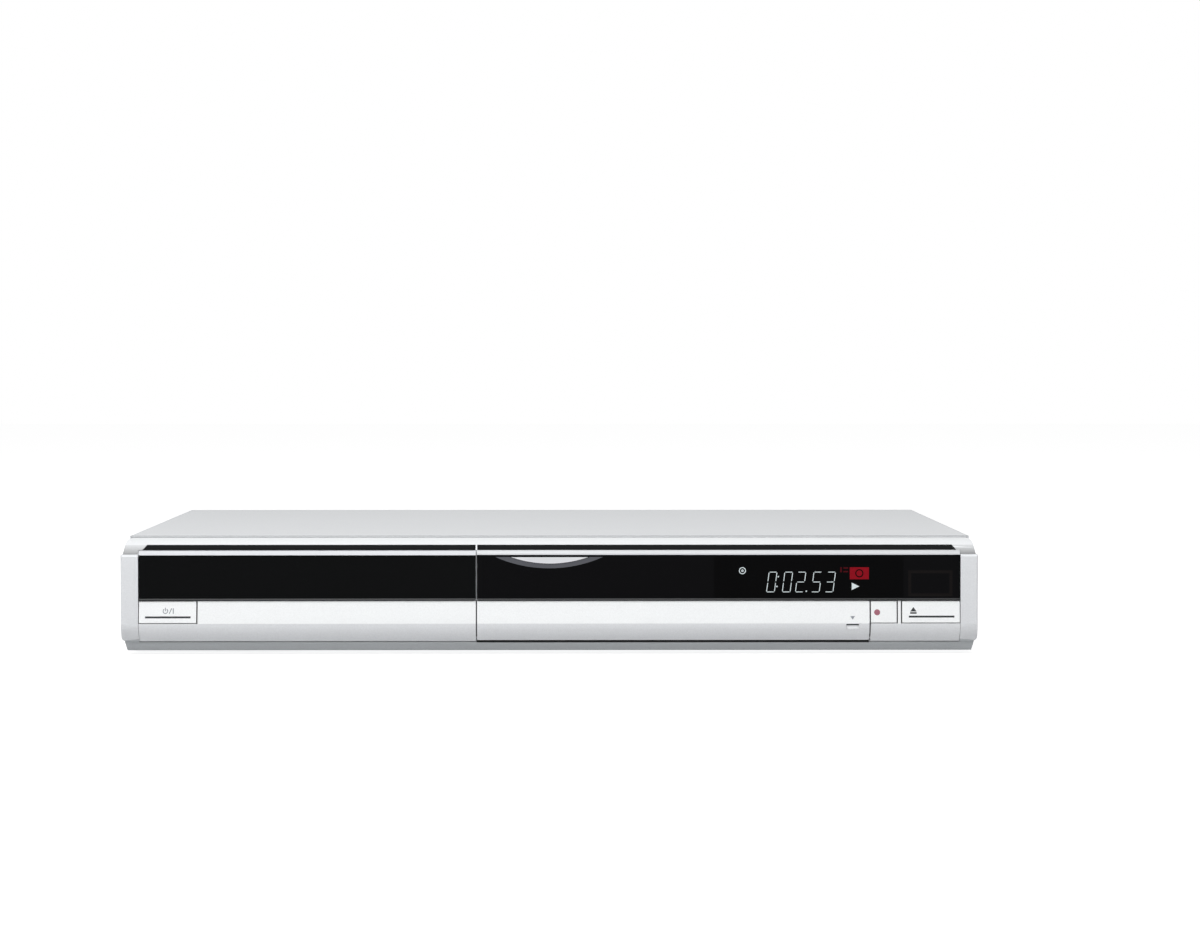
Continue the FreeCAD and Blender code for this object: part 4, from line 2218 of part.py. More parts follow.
def make_sled_screw():
    """Lead screw beside the rods, from its bearing to the sled motor."""
    screw_x = drive_x + v.sled_screw_offset
    centre = (screw_x, v.rod_height)
    end_gap = 1.5
    motor_gap = 0.5
    ends = (rod_front + end_gap, rod_back + SLED_MOTOR_GAP - motor_gap)
    return keep("sled_screw", rod("screw core", "y", centre, ends, v.sled_screw_radius))


def make_sled_motor():
    """The small motor that turns the lead screw."""
    screw_x = drive_x + v.sled_screw_offset
    centre = (screw_x, v.rod_height)
    start = rod_back + SLED_MOTOR_GAP
    return keep("sled_motor", rod("sled motor can", "y", centre, (start, start + v.sled_motor_length),
                                  v.sled_motor_radius))


def make_disc_clamper():
    """Magnetic clamper that hangs in the lid's opening by its flange."""
    centre = (drive_x, disc_y)
    low = v.clamp_bottom
    puck_top = low + 2.0
    rise = v.drive_top + v.slide_gap
    puck = rod("clamp puck", "z", centre, (low, puck_top), v.clamp_radius)
    neck = rod("clamp neck", "z", centre, (puck_top, rise), v.clamp_neck_radius)
    flange = rod("clamp flange", "z", centre, (rise, rise + v.clamp_flange_height), v.clamp_flange_radius)
    return keep("disc_clamper", fuse("clamper", puck, neck, flange))


# Hard disk

def make_hdd_case():
    """Cast body of the hard disk with a thinner lid on top."""
    top = v.disk_bottom + v.disk_height
    lid_thickness = 1.0
    lid_inset = 3.0
    rail_inset = 6.0
    under = v.disk_bottom + v.disk_board_drop
    casting = span("disk casting", disk_x, disk_y, (under, top - lid_thickness))
    lid = span("disk lid", (disk_x[0] + lid_inset, disk_x[1] - lid_inset),
               (disk_y[0] + lid_inset, disk_y[1] - lid_inset), (top - lid_thickness, top))
    relief = span("disk rail relief", (disk_x[0] + rail_inset, disk_x[1] - rail_inset),
                  (disk_y[0] - OVER, disk_y[0] + lid_inset), (under - OVER, under + rail_inset))
    return keep("hdd_case", cut("disk body", fuse("disk solid", casting, lid), relief))


def make_hdd_board():
    """Circuit board on the underside of the hard disk."""
    inset = 4.0
    motor_end = 30.0
    return keep("hdd_board", span(
        "disk board", (disk_x[0] + inset, disk_x[1] - inset), (disk_y[0] + inset, disk_y[1] - motor_end),
        (v.disk_bottom, v.disk_bottom + v.disk_board_drop)))


def make_hdd_bracket():
    """Folded bracket that carries the hard disk by its sides over the chassis."""
    steel = v.sheet_steel
    side_share = 0.6
    end_feet = 2
    tie_feet = 4
    x = (disk_x[0] - steel, disk_x[1] + steel)
    y = (disk_y[0] + v.bracket_foot * end_feet, disk_y[1] - v.bracket_foot * end_feet)
    top = v.disk_bottom + v.disk_height * side_share
    left = prism("bracket left", "xz", [
        (x[0], chassis_floor),
        (x[0] + v.bracket_foot, chassis_floor),
        (x[0] + v.bracket_foot, chassis_floor + steel),
        (x[0] + steel, chassis_floor + steel),
        (x[0] + steel, top),
        (x[0], top),
    ], y)
    right = prism("bracket right", "xz", [
        (x[1] - v.bracket_foot, chassis_floor),
        (x[1], chassis_floor),
        (x[1], top),
        (x[1] - steel, top),
        (x[1] - steel, chassis_floor + steel),
        (x[1] - v.bracket_foot, chassis_floor + steel),
    ], y)
    tie = span("bracket tie", x, (y[0] + v.bracket_foot, y[0] + v.bracket_foot * tie_feet),
               (chassis_floor, chassis_floor + steel))
    return keep("hdd_bracket", fuse("disk bracket", left, right, tie))


# Boards inside

# Main board: its connector's height and end, and the room left for a chip and for a chip's row
CONNECTOR_HEIGHT = 9.0
CONNECTOR_END = 62.0
CHIP_SIDE = 16.0
CHIP_PITCH = 26.0
CHIP_INSET = 10.0


def make_main_board():
    """Main board with its heat sink, chips and connectors."""
    low = board_top - v.board_thickness
    sink_inset = 70.0
    sink_side = 34.0
    sink_front = 6.0
    sink_base = board_top + 4.0
    fin_pitch = 4.0
    fin_gap = 1.0
    fin_thickness = 1.4
    fin_height = 10.0
    chip_front = 8.0
    chip_height = 2.2
    connector_front = 2.0
    sink_y = (main_y[0] + sink_front, main_y[0] + sink_side)
    plate = span("main plate", main_x, main_y, (low, board_top))
    sink_x = main_x[0] + sink_inset
    sink = span("heat sink base", (sink_x, sink_x + sink_side), sink_y, (board_top, sink_base))
    fins = []
    for number in range(8):
        start = sink_x + fin_gap + fin_pitch * number
        fins.append(span("heat sink fin %d" % number, (start, start + fin_thickness), sink_y,
                         (sink_base, sink_base + fin_height)))
    chips = []
    for number in (0, 1, 4, 5):
        start = main_x[0] + CHIP_INSET + CHIP_PITCH * number
        chips.append(span("chip %d" % number, (start, start + CHIP_SIDE),
                          (main_y[0] + chip_front, main_y[0] + chip_front + CHIP_SIDE),
                          (board_top, board_top + chip_height)))
    connector = span("drive connector", (main_x[1] - CONNECTOR_END, main_x[1] - CHIP_INSET),
                     (main_y[0] + connector_front, main_y[0] + chip_front),
                     (board_top, board_top + CONNECTOR_HEIGHT))
    return keep("main_board", fuse("main board solid", plate, sink, *fins, *chips, connector))


def make_power_supply():
    """Supply board with its transformer, capacitors and finned coolers."""
    low = board_top - v.board_thickness
    core_left = 40.0
    core_front = 96.0
    winding_inset = 5.0
    winding_end = 4.0
    cap_pitch = 24.0
    cap_front = 66.0
    cooler_inset = 14.0
    cooler_length = 60.0
    cooler_pitch = 22.0
    cooler_thickness = 3.0
    cooler_height = 30.0
    plate = span("supply plate", supply_x, supply_y, (low, board_top))
    tx = supply_x[0] + core_left
    ty = supply_y[0] + core_front
    transformer = span("transformer core", (tx, tx + v.transformer_width), (ty, ty + v.transformer_length),
                       (board_top, board_top + v.transformer_height))
    winding = span("transformer winding",
                   (tx + winding_inset, tx + v.transformer_width - winding_inset),
                   (ty - winding_end, ty + v.transformer_length + winding_end),
                   (board_top, board_top + v.transformer_height - winding_inset))
    caps = [rod("capacitor %d" % number, "z",
                (supply_x[0] + cap_pitch * (number + 1), supply_y[0] + cap_front),
                (board_top, board_top + v.capacitor_height), v.capacitor_radius) for number in range(3)]
    left = supply_x[0] + cooler_inset
    coolers = []
    for number in range(2):
        start = supply_y[0] + cooler_inset + cooler_pitch * number
        coolers.append(span("cooler %d" % number, (left, left + cooler_length),
                            (start, start + cooler_thickness), (board_top, board_top + cooler_height)))
    return keep("power_supply", fuse("supply solid", plate, transformer, winding, *caps, *coolers))


def make_ribbon_cables():
    """Flat cables from the main board to the disc drive and the hard disk."""
    thick = v.ribbon_thickness
    middle = main_x[1] - (CONNECTOR_END + CHIP_INSET) / 2
    arch = 4.0
    plug_in = 6.0
    back_in = 3.0
    half = v.ribbon_width / 2
    top = board_top + CONNECTOR_HEIGHT
    rise = top + arch
    start = main_y[0] + back_in
    plug = (disk_y[1], disk_y[1] + plug_in)
    height = v.disk_bottom + v.disk_height / 2
    flat = prism("disk ribbon", "yz", [
        (plug[0], height),
        (plug[1] + thick, height),
        (plug[1] + thick, rise),
        (start, rise),
        (start, top),
        (start + thick, top),
        (start + thick, rise + thick),
        (plug[1], rise + thick),
        (plug[1], height + thick),
        (plug[0], height + thick),
    ], (middle - half, middle + half))
    return keep("ribbon_cables", flat)


make_front_fascia()
make_top_inlay()
make_left_lower_panel()
make_right_lower_panel()
make_display_window()
make_crescent_inlay()
make_band_buttons()
make_small_buttons()
make_front_flap()
make_inner_panel()
make_av_in_sockets()
make_s_video_in()
make_dv_in()
make_front_board()
make_display_tube()
make_remote_sensor()
make_top_cover()
make_bottom_chassis()
make_feet()
make_case_screws()
make_rear_panel()
make_scart_sockets()
make_av_out_sockets()
make_digital_sockets()
make_ac_inlet()
make_tuner_unit()
make_fan_frame()
make_fan_rotor()
make_drive_case()
make_drive_lid()
make_loader_base()
make_disc_tray()
keep("tray_door", prism("door", "yz", gloss_outline(tray_front), (door_left, seam_left)))
keep("tray_door_trim", prism("door trim", "yz", [
    (front + v.strip_face, v.gloss_top),
    (front + v.strip_face, v.cap_top),
    (front + v.strip_face + v.strip_rise - v.slide_gap / 2, v.inlay_bottom - v.slide_gap),
    (tray_front, v.inlay_bottom - v.slide_gap),
    (tray_front, v.gloss_top),
], (door_left, seam_left)))
make_tray_gear()
make_pulley_gear()
make_loading_motor()
make_motor_pulley()
make_loading_belt()
make_cam_slider()
make_traverse_frame()
make_spindle_motor()
make_turntable()
make_laser_pickup()
make_pickup_lens()
make_guide_rods()
make_sled_screw()
make_sled_motor()
make_disc_clamper()
make_hdd_case()
make_hdd_board()
make_hdd_bracket()
make_main_board()
make_power_supply()
make_ribbon_cables()

doc.recompute()

for thing in doc.Objects:
    if "Invalid" in thing.State or "Error" in thing.State:
        raise RuntimeError("%s did not compute: %s" % (thing.Label, thing.State))
for node in nodes:
    shape = node.Shape
    if shape.isNull() or not shape.isValid() or not shape.Solids:
        raise RuntimeError("%s has no valid solid" % node.Label)
for node in nodes:
    node.Shape.exportStep("parts/%s.step" % node.Label)
print(len(nodes), "sub-parts written")
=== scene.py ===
"""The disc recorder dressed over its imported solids: finishes, fittings, marks, stage and camera."""

import logging
import math
from dataclasses import dataclass, field, replace
from enum import Enum
from typing import Sequence

import bmesh
import bpy
from bpy.types import Material, Mesh, Node, NodeSocket as Socket, NodeTree as Tree, Object, Scene, World
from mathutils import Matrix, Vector


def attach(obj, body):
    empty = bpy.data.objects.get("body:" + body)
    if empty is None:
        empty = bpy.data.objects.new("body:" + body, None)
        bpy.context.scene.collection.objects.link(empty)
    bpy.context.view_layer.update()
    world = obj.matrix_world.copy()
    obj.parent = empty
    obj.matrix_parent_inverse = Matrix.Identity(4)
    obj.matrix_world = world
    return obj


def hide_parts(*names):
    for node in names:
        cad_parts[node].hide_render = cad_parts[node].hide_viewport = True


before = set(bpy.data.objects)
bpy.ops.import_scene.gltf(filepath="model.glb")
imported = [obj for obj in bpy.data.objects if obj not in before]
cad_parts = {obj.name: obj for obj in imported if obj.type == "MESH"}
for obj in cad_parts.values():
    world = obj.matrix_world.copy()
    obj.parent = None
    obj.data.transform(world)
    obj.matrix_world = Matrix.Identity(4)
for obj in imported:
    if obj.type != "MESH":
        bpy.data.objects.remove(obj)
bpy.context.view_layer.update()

LOG = logging.getLogger("recorder")
MM = 0.001
MERGE = 2e-6
FLAT = math.radians(0.5)
SHARP = math.radians(12)
LEAST_ROUGHNESS = 0.02
LONG_EDGE = 4.0
PLATE_SUNK = 0.2

Pair = tuple[float, float]
Spot = tuple[float, float, float]
Colour = tuple[float, float, float, float]
Outline = Sequence[Pair]


class Body(str, Enum):
    """The moving bodies that scene pieces ride on."""

    CASE = "recorder"
    TRAY = "tray"
    FLAP = "flap"
    POWER = "power_key"
    RECORD = "record_key"
    EJECT = "eject_key"
    STOP = "stop_key"
    PLAY = "play_key"
    CHANNEL_DOWN = "channel_down_key"
    CHANNEL_UP = "channel_up_key"


def linear(hexed: str) -> Colour:
    """Turn an sRGB hex colour to the linear values that shaders take.

    Args:
        hexed: Six hex digits, such as "d8dadc".

    Returns:
        Linear red, green and blue, with full alpha.
    """
    parts = [int(hexed[at:at + 2], 16) / 255 for at in (0, 2, 4)]
    turned = [part / 12.92 if part <= 0.04045 else ((part + 0.055) / 1.055) ** 2.4 for part in parts]
    return (turned[0], turned[1], turned[2], 1.0)


def toned(hexed: str, share: float) -> Colour:
    """A colour's linear values times a share, none of them above 1."""
    red, green, blue = (min(part * share, 1.0) for part in linear(hexed)[:3])
    return (red, green, blue, 1.0)


def add_node(tree: Tree, kind: str, settings: dict | None = None, links: dict | None = None) -> Node:
    """Add one node with its settings and links.

    Args:
        tree: The node tree that takes it.
        kind: The node's type.
        settings: Values by property name, or by an input's name or number.
        links: Output sockets by the name or number of the input that they feed.

    Returns:
        The new node.
    """
    node = tree.nodes.new(kind)
    for name, value in (settings or {}).items():
        if isinstance(name, str) and name in node.bl_rna.properties:
            setattr(node, name, value)
        else:
            node.inputs[name].default_value = value
    for name, source in (links or {}).items():
        tree.links.new(source, node.inputs[name])
    return node


def cleared(owner: Material | World) -> Tree:
    """Turn on the nodes of a material or a world, and empty their tree."""
    owner.use_nodes = True
    owner.node_tree.nodes.clear()
    return owner.node_tree


def placed(name: str, data: bpy.types.ID) -> Object:
    """Put a new object for a mesh, a lamp or a camera in the scene."""
    made = bpy.data.objects.new(name, data)
    bpy.context.scene.collection.objects.link(made)
    return made


def written(work: bmesh.types.BMesh, name: str) -> Mesh:
    """Write an edited mesh out as a new one, and free it."""
    made = bpy.data.meshes.new(name)
    work.to_mesh(made)
    work.free()
    return made


@dataclass(frozen=True)
class Coat:
    """One material in the making: its shader, and the ways that a pattern acts on it."""

    tree: Tree
    shader: Node
    place: Socket
    colour: str
    roughness: float

    def feed(self, label: str, value: Socket) -> None:
        """Link a value to an input of the shader."""
        self.tree.links.new(value, self.shader.inputs[label])

    def noise(self, size: float, detail: float = 3.0) -> Socket:
        """A pattern of clouds from 0 to 1, by a cloud's width in millimetres and its finer layers."""
        return add_node(self.tree, "ShaderNodeTexNoise", {"Scale": 1 / (size * MM), "Detail": detail},
                        {"Vector": self.place}).outputs[0]

    def cells(self, size: float, settings: dict | None = None) -> Node:
        """A pattern of cells, by a cell's width in millimetres."""
        return add_node(self.tree, "ShaderNodeTexVoronoi", {"Scale": 1 / (size * MM), **(settings or {})},
                        {"Vector": self.place})

    def flecks(self, size: float) -> Sequence[Socket]:
        """Three sets of random greys, one grey for each cell of a width in millimetres."""
        colours = self.cells(size).outputs["Color"]
        return add_node(self.tree, "ShaderNodeSeparateColor", links={0: colours}).outputs

    def mixed(self, low: Colour, high: Colour, value: Socket) -> Socket:
        """Blend two colours by a pattern."""
        return add_node(self.tree, "ShaderNodeMix", {"data_type": "RGBA", 6: low, 7: high}, {0: value}).outputs[2]

    def shade(self, value: Socket, spread: float) -> None:
        """Let a pattern lighten and darken the colour, by a share of it either way."""
        self.feed("Base Color", self.mixed(toned(self.colour, 1 - spread), toned(self.colour, 1 + spread), value))

    def relief(self, value: Socket, depth: float) -> None:
        """Raise a pattern as a fine relief, by its height in millimetres."""
        bump = add_node(self.tree, "ShaderNodeBump", {"Strength": 1.0, "Distance": depth * MM}, {"Height": value})
        self.feed("Normal", bump.outputs["Normal"])

    def gloss(self, value: Socket, spread: float) -> None:
        """Let a pattern vary the roughness either way."""
        ends = {"To Min": max(self.roughness - spread, LEAST_ROUGHNESS), "To Max": self.roughness + spread}
        self.feed("Roughness", add_node(self.tree, "ShaderNodeMapRange", ends, {"Value": value}).outputs["Result"])


@dataclass(frozen=True)
class Finish:
    """A surface: its colour and gloss, with the pattern that its making leaves."""

    name: str
    colour: str
    roughness: float
    metallic: float = 0.0
    specular: float = 0.5

    def material(self) -> Material:
        """Make the finish's material once, and share it.

        Returns:
            The material.
        """
        known = bpy.data.materials.get(self.name)
        if known:
            return known
        made = bpy.data.materials.new(self.name)
        tree = cleared(made)
        shader = add_node(tree, "ShaderNodeBsdfPrincipled", {
            "Base Color": linear(self.colour), "Roughness": self.roughness, "Metallic": self.metallic,
            "Specular IOR Level": self.specular})
        add_node(tree, "ShaderNodeOutputMaterial", links={"Surface": shader.outputs["BSDF"]})
        place = add_node(tree, "ShaderNodeTexCoord").outputs["Object"]
        self.pattern(Coat(tree, shader, place, self.colour, self.roughness))
        return made

    def pattern(self, coat: Coat) -> None:
        """Add what the surface's making leaves on it."""


@dataclass(frozen=True)
class SatinPaint(Finish):
    """Sprayed paint with metal flake: even from afar, with a fine sparkle and a soft orange peel near by."""

    flake: float = 0.35
    peel: float = 2.5

    def pattern(self, coat: Coat) -> None:
        """Flake that lightens and darkens the paint, and its orange peel."""
        coat.shade(coat.flecks(self.flake)[0], 0.035)
        coat.gloss(coat.noise(30.0), 0.03)
        coat.relief(coat.noise(self.peel, 1.0), 0.004)


@dataclass(frozen=True)
class HeightShadedPaint(SatinPaint):
    """The same paint over an edge that rolls under, with painted shade: it darkens softly towards its foot."""

    foot: float = 50.8
    crest: float = 56.5
    least: float = 0.2

    def pattern(self, coat: Coat) -> None:
        """The paint's own pattern, dimmed by its height as painted shade."""
        super().pattern(coat)
        painted = coat.shader.inputs["Base Color"].links[0].from_socket
        height = add_node(coat.tree, "ShaderNodeSeparateXYZ", links={0: coat.place}).outputs["Z"]
        level = add_node(coat.tree, "ShaderNodeMapRange", {
            "From Min": self.foot * MM, "From Max": self.crest * MM, "To Min": self.least}, {"Value": height})
        dimmed = add_node(coat.tree, "ShaderNodeVectorMath", {"operation": "SCALE"},
                          {0: painted, "Scale": level.outputs["Result"]})
        coat.feed("Base Color", dimmed.outputs[0])


@dataclass(frozen=True)
class GrainedPlastic(Finish):
    """Plastic from a spark-eroded mould: an even matt grain that breaks up its highlights.

    The cloud and the sheen are the widths of slow patches in millimetres, and how far they move colour and gloss.
    """

    grain: float = 0.5
    detail: float = 2.0
    depth: float = 0.03
    cloud: Pair = (12.0, 0.08)
    sheen: Pair = (5.0, 0.05)

    def pattern(self, coat: Coat) -> None:
        """The mould's grain, and slow patches of colour and gloss."""
        coat.relief(coat.noise(self.grain, self.detail), self.depth)
        coat.shade(coat.noise(self.cloud[0]), self.cloud[1])
        coat.gloss(coat.noise(self.sheen[0]), self.sheen[1])


@dataclass(frozen=True)
class PolishedPlastic(GrainedPlastic):
    """Plastic from a polished mould: a clear deep gloss, slow waves of the moulding, and finger-wiped patches."""

    grain: float = 18.0
    detail: float = 0.0
    depth: float = 0.01
    cloud: Pair = (40.0, 0.12)
    sheen: Pair = (9.0, 0.03)


@dataclass(frozen=True)
class CastAlloy(GrainedPlastic):
    """Die-cast alloy, bead blasted: a pebbled skin with slow grey clouds."""

    grain: float = 0.7
    detail: float = 3.0
    depth: float = 0.05
    cloud: Pair = (14.0, 0.14)
    sheen: Pair = (6.0, 0.08)


@dataclass(frozen=True)
class ZincSteel(Finish):
    """Hot-dipped zinc on sheet steel: flat crystals, each with its own grey and gloss."""

    spangle: float = 5.0
    waver: float = 4.0
    sway: Spot = (0.002, 0.002, 0.002)

    def pattern(self, coat: Coat) -> None:
        """The crystals of the zinc."""
        bent = add_node(coat.tree, "ShaderNodeTexNoise", {"Scale": 1 / (self.waver * MM)}, {"Vector": coat.place})
        moved = add_node(coat.tree, "ShaderNodeVectorMath", {"operation": "MULTIPLY_ADD", 1: self.sway},
                         {0: bent.outputs["Color"], 2: coat.place})
        greys = replace(coat, place=moved.outputs[0]).flecks(self.spangle)
        coat.shade(greys[0], 0.13)
        coat.gloss(greys[1], 0.09)
        coat.relief(coat.noise(1.2), 0.004)


@dataclass(frozen=True)
class WorkedMetal(Finish):
    """Plated or ground metal: fine lines along one axis that stretch its highlights."""

    line: float = 0.2
    run: Spot = (1.0, 0.03, 1.0)

    def pattern(self, coat: Coat) -> None:
        """The lines that grinding leaves, drawn long along the run."""
        drawn = add_node(coat.tree, "ShaderNodeMapping", {"Scale": self.run}, {"Vector": coat.place})
        lines = replace(coat, place=drawn.outputs["Vector"]).noise(self.line, 2.0)
        coat.shade(lines, 0.10)
        coat.gloss(lines, 0.07)
        coat.relief(lines, 0.003)


@dataclass(frozen=True)
class SolderMask(Finish):
    """Green lacquer over etched copper: tracks show as lighter runs, with bright pads."""

    track: float = 2.4
    pad: str = "b9bcb4"
    pad_reach: float = 0.16

    def pattern(self, coat: Coat) -> None:
        """Tracks as the edges of large square cells, and tinned pads at the centres of small ones."""
        squares = coat.cells(self.track * 3, {"distance": "CHEBYCHEV", "feature": "F1", "Randomness": 0.8})
        tracks = add_node(coat.tree, "ShaderNodeMath", {"operation": "PINGPONG", 1: 0.08},
                          {0: squares.outputs["Distance"]})
        steep = add_node(coat.tree, "ShaderNodeMapRange", {"From Min": 0.03, "From Max": 0.05},
                         {"Value": tracks.outputs[0]}).outputs["Result"]
        dots = coat.cells(self.track, {"Randomness": 0.25})
        spot = add_node(coat.tree, "ShaderNodeMath", {"operation": "LESS_THAN", 1: self.pad_reach},
                        {0: dots.outputs["Distance"]})
        lacquer = coat.mixed(linear(self.colour), toned(self.colour, 1.7), steep)
        tinned = add_node(coat.tree, "ShaderNodeMix", {"data_type": "RGBA", 7: linear(self.pad)},
                          {0: spot.outputs[0], 6: lacquer})
        coat.feed("Base Color", tinned.outputs[2])
        coat.relief(steep, 0.05)


@dataclass(frozen=True)
class RibbonJacket(Finish):
    """Extruded grey jacket over side-by-side wires: a ridge for each wire."""

    pitch: float = 1.27

    def pattern(self, coat: Coat) -> None:
        """One ridge for each wire."""
        ridges = add_node(coat.tree, "ShaderNodeTexWave", {
            "wave_type": "BANDS", "bands_direction": "X", "Scale": math.pi / 10 / (self.pitch * MM)},
            {"Vector": coat.place}).outputs["Fac"]
        coat.shade(ridges, 0.18)
        coat.relief(ridges, 0.2)


@dataclass(frozen=True)
class ClearGlass(Finish):
    """Ground and coated glass: dark inside, with a tinted gloss on top."""

    tint: str = "6a4fa0"

    def pattern(self, coat: Coat) -> None:
        """The coating's gloss over the glass."""
        for label, value in (("Weight", 1.0), ("Roughness", 0.02), ("Tint", linear(self.tint))):
            coat.shader.inputs["Coat " + label].default_value = value
        coat.shade(coat.noise(3.0), 0.2)


@dataclass(frozen=True)
class LitSegment(Finish):
    """Phosphor behind smoked plastic: an even glow with a fine mesh over it."""

    glow: float = 1.0
    mesh: float = 0.6

    def pattern(self, coat: Coat) -> None:
        """The glow, dimmed a little by the tube's mesh."""
        veil = coat.noise(self.mesh, 0.0)
        coat.shade(veil, 0.1)
        coat.feed("Emission Color", coat.mixed(toned(self.colour, 0.85), linear(self.colour), veil))
        coat.shader.inputs["Emission Strength"].default_value = self.glow


# Finishes of this recorder

COVER_PAINT = SatinPaint("powder_painted_steel_silver", "d9dbdd", 0.55, 0.05, specular=0.3)
SILVER = SatinPaint("painted_abs_silver", "d6d8dc", 0.42, 0.08)
# The fascia's top shoulder, which faces up: a lighter copy of the silver, as painted light.
SHOULDER_LIT_SILVER = SatinPaint("painted_abs_shoulder_painted_light", "e9ebed", 0.4, 0.03)
# The band's and the lower curve's colours are one silver paint set apart by where light falls: the band's lighter
# colour is painted light, the curve's darker one painted shade.
BAND_LIT_SILVER = SatinPaint("painted_abs_band_painted_light", "f7f9fa", 0.4, 0.03)
CURVE_SHADED_SILVER = SatinPaint("painted_abs_lower_curve_painted_shade", "e9ebee", 0.4, 0.03)
# The silver strip right of the tray door: a darker copy of the silver, as painted shade.
STRIP_SHADED_SILVER = SatinPaint("painted_abs_strip_painted_shade", "c5c7ca", 0.42, 0.08)
# The end caps' shoulders: the silver, darkening with height towards their foot as painted shade.
SHOULDER_SHADE_FADE = HeightShadedPaint("painted_abs_shoulder_painted_shade", "e9ebed", 0.4, 0.03)
# The top cover's front edge: dark grey as painted shade.
COVER_EDGE_SHADE = SatinPaint("powder_painted_edge_painted_shade", "45484b", 0.55, 0.05, specular=0.3)
# The end caps' faces: a lighter copy of the silver, as painted light.
CAP_LIT_SILVER = SatinPaint("painted_abs_end_cap_painted_light", "e0e2e5", 0.42, 0.08)
# The plinth, which faces down: a darker grey copy of the silver, as painted shade.
PLINTH_SHADE = SatinPaint("painted_abs_plinth_painted_shade", "b8bcbf", 0.45, 0.1)
STRIP_BLACK = PolishedPlastic("polished_acrylic_strip_black", "0d0e10", 0.14, specular=0.08)
GLOSS_BLACK = PolishedPlastic("polished_acrylic_black", "08090a", 0.12, specular=0.035)
SMOKED = PolishedPlastic("smoked_acrylic_window", "08080a", 0.08, specular=0.03)
MASK = PolishedPlastic("display_mask_black", "060607", 0.1, specular=0.02)
# The lip at the foot of the black panels: a lighter grey as painted reflection on its bevel that faces down and
# forward.
LIP_REFLECTION_GREY = PolishedPlastic("polished_lip_painted_reflection", "1c1d1f", 0.3, specular=0.2)
PALE_INLAY = PolishedPlastic("pale_acrylic_inlay", "e2e3e7", 0.25)
# Bare grey plastic on the sides of the panels, keys and flap, also dark as painted shade in the seams and in the
# flap's notch.
BARE_SHADE_GREY = GrainedPlastic("bare_abs_edge_painted_shade_grey", "2c2d2f", 0.6, depth=0.01)
RING_GREY = PolishedPlastic("printed_ring_grey", "55565c", 0.3, specular=0.2)
ZINC = ZincSteel("hot_dipped_zinc_steel", "a9adb0", 0.36, 0.85)
PLAIN_STEEL = WorkedMetal("turned_bright_steel", "c2c3c4", 0.24, 1.0)
BLACK_SCREW = WorkedMetal("black_zinc_screw_steel", "3c3d40", 0.32, 0.9)
BLACK_ABS = GrainedPlastic("moulded_abs_black", "17181a", 0.5)
LOADER_ABS = GrainedPlastic("moulded_abs_loader_black", "1d1e20", 0.46)
FOOT_RUBBER = GrainedPlastic("moulded_rubber_foot", "232425", 0.75, depth=0.05)
KEY_GREY = GrainedPlastic("moulded_abs_key_grey", "9fa3a8", 0.45, depth=0.012)
NICKEL = WorkedMetal("nickel_plated_brass", "cbc7be", 0.2, 1.0)
LENS = ClearGlass("coated_lens_glass", "101018", 0.05)
TUBE = ClearGlass("display_tube_glass", "1b2422", 0.08, tint="b8d8cc")
BOARD = SolderMask("solder_mask_green", "1f5a3a", 0.38)
ACETAL = GrainedPlastic("moulded_acetal_white", "e4e2da", 0.35, depth=0.01)
BELT = GrainedPlastic("cast_rubber_belt", "141414", 0.7, depth=0.02)
MOTOR_STEEL = WorkedMetal("drawn_motor_can_steel", "b3b4b5", 0.28, 1.0)
ALLOY = CastAlloy("blasted_cast_alloy", "8f9295", 0.48, 0.9)
RIBBON = RibbonJacket("extruded_ribbon_jacket", "a8a9a7", 0.5)
INK_DARK = GrainedPlastic("pad_printed_dark_ink", "1e2024", 0.5, depth=0.004)
INK_GREY = GrainedPlastic("pad_printed_grey_ink", "8d9197", 0.5, depth=0.004)
INK_RECORD = GrainedPlastic("pad_printed_record_ink", "a06070", 0.45, depth=0.004)
LIT_PALE = LitSegment("display_phosphor_pale", "b4bdbf", 0.4, specular=0.03, glow=0.6)
LIT_RED = LitSegment("display_phosphor_red", "7a0f1a", 0.4, specular=0.03, glow=0.35)
LIT_DIM = LitSegment("display_phosphor_dim", "3c0a10", 0.4, specular=0.03, glow=0.5)
FRAME_BROWN = PolishedPlastic("sensor_frame_brown", "110e0e", 0.2, specular=0.05)
AIR_GAP_TAPE = GrainedPlastic("wound_polyester_tape_yellow", "b59a3a", 0.5, depth=0.01)
SLEEVE_BLACK = PolishedPlastic("shrunk_sleeve_black", "15171c", 0.35)


def node_mesh(node: str) -> Mesh:
    """A merged copy of a solid's mesh, with its flat faces joined.

    Args:
        node: The solid's name.

    Returns:
        The new mesh.
    """
    work = bmesh.new()
    work.from_mesh(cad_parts[node].data)
    bmesh.ops.remove_doubles(work, verts=work.verts, dist=MERGE)
    bmesh.ops.dissolve_limit(work, angle_limit=FLAT, verts=work.verts, edges=work.edges)
    return written(work, node + "_dressed")


def finished(name: str, mesh: Mesh, finish: Finish, body: Body = Body.CASE,
             replaced: Sequence[str] = (), smooth: bool = True) -> Object:
    """Put a mesh in the scene as a finished piece.

    Args:
        name: The piece's name.
        mesh: Its mesh, in place.
        finish: Its surface.
        body: What it moves with.
        replaced: The solids that it stands for.
        smooth: Whether its shallow edges are shaded round.

    Returns:
        The piece.
    """
    piece = placed(name, mesh)
    if not mesh.materials:
        mesh.materials.append(finish.material())
    if smooth:
        mesh.shade_smooth()
        mesh.set_sharp_from_angle(angle=SHARP)
    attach(piece, body.value)
    if replaced:
        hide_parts(*replaced)
    LOG.info("%s: %d faces", name, len(mesh.polygons))
    return piece


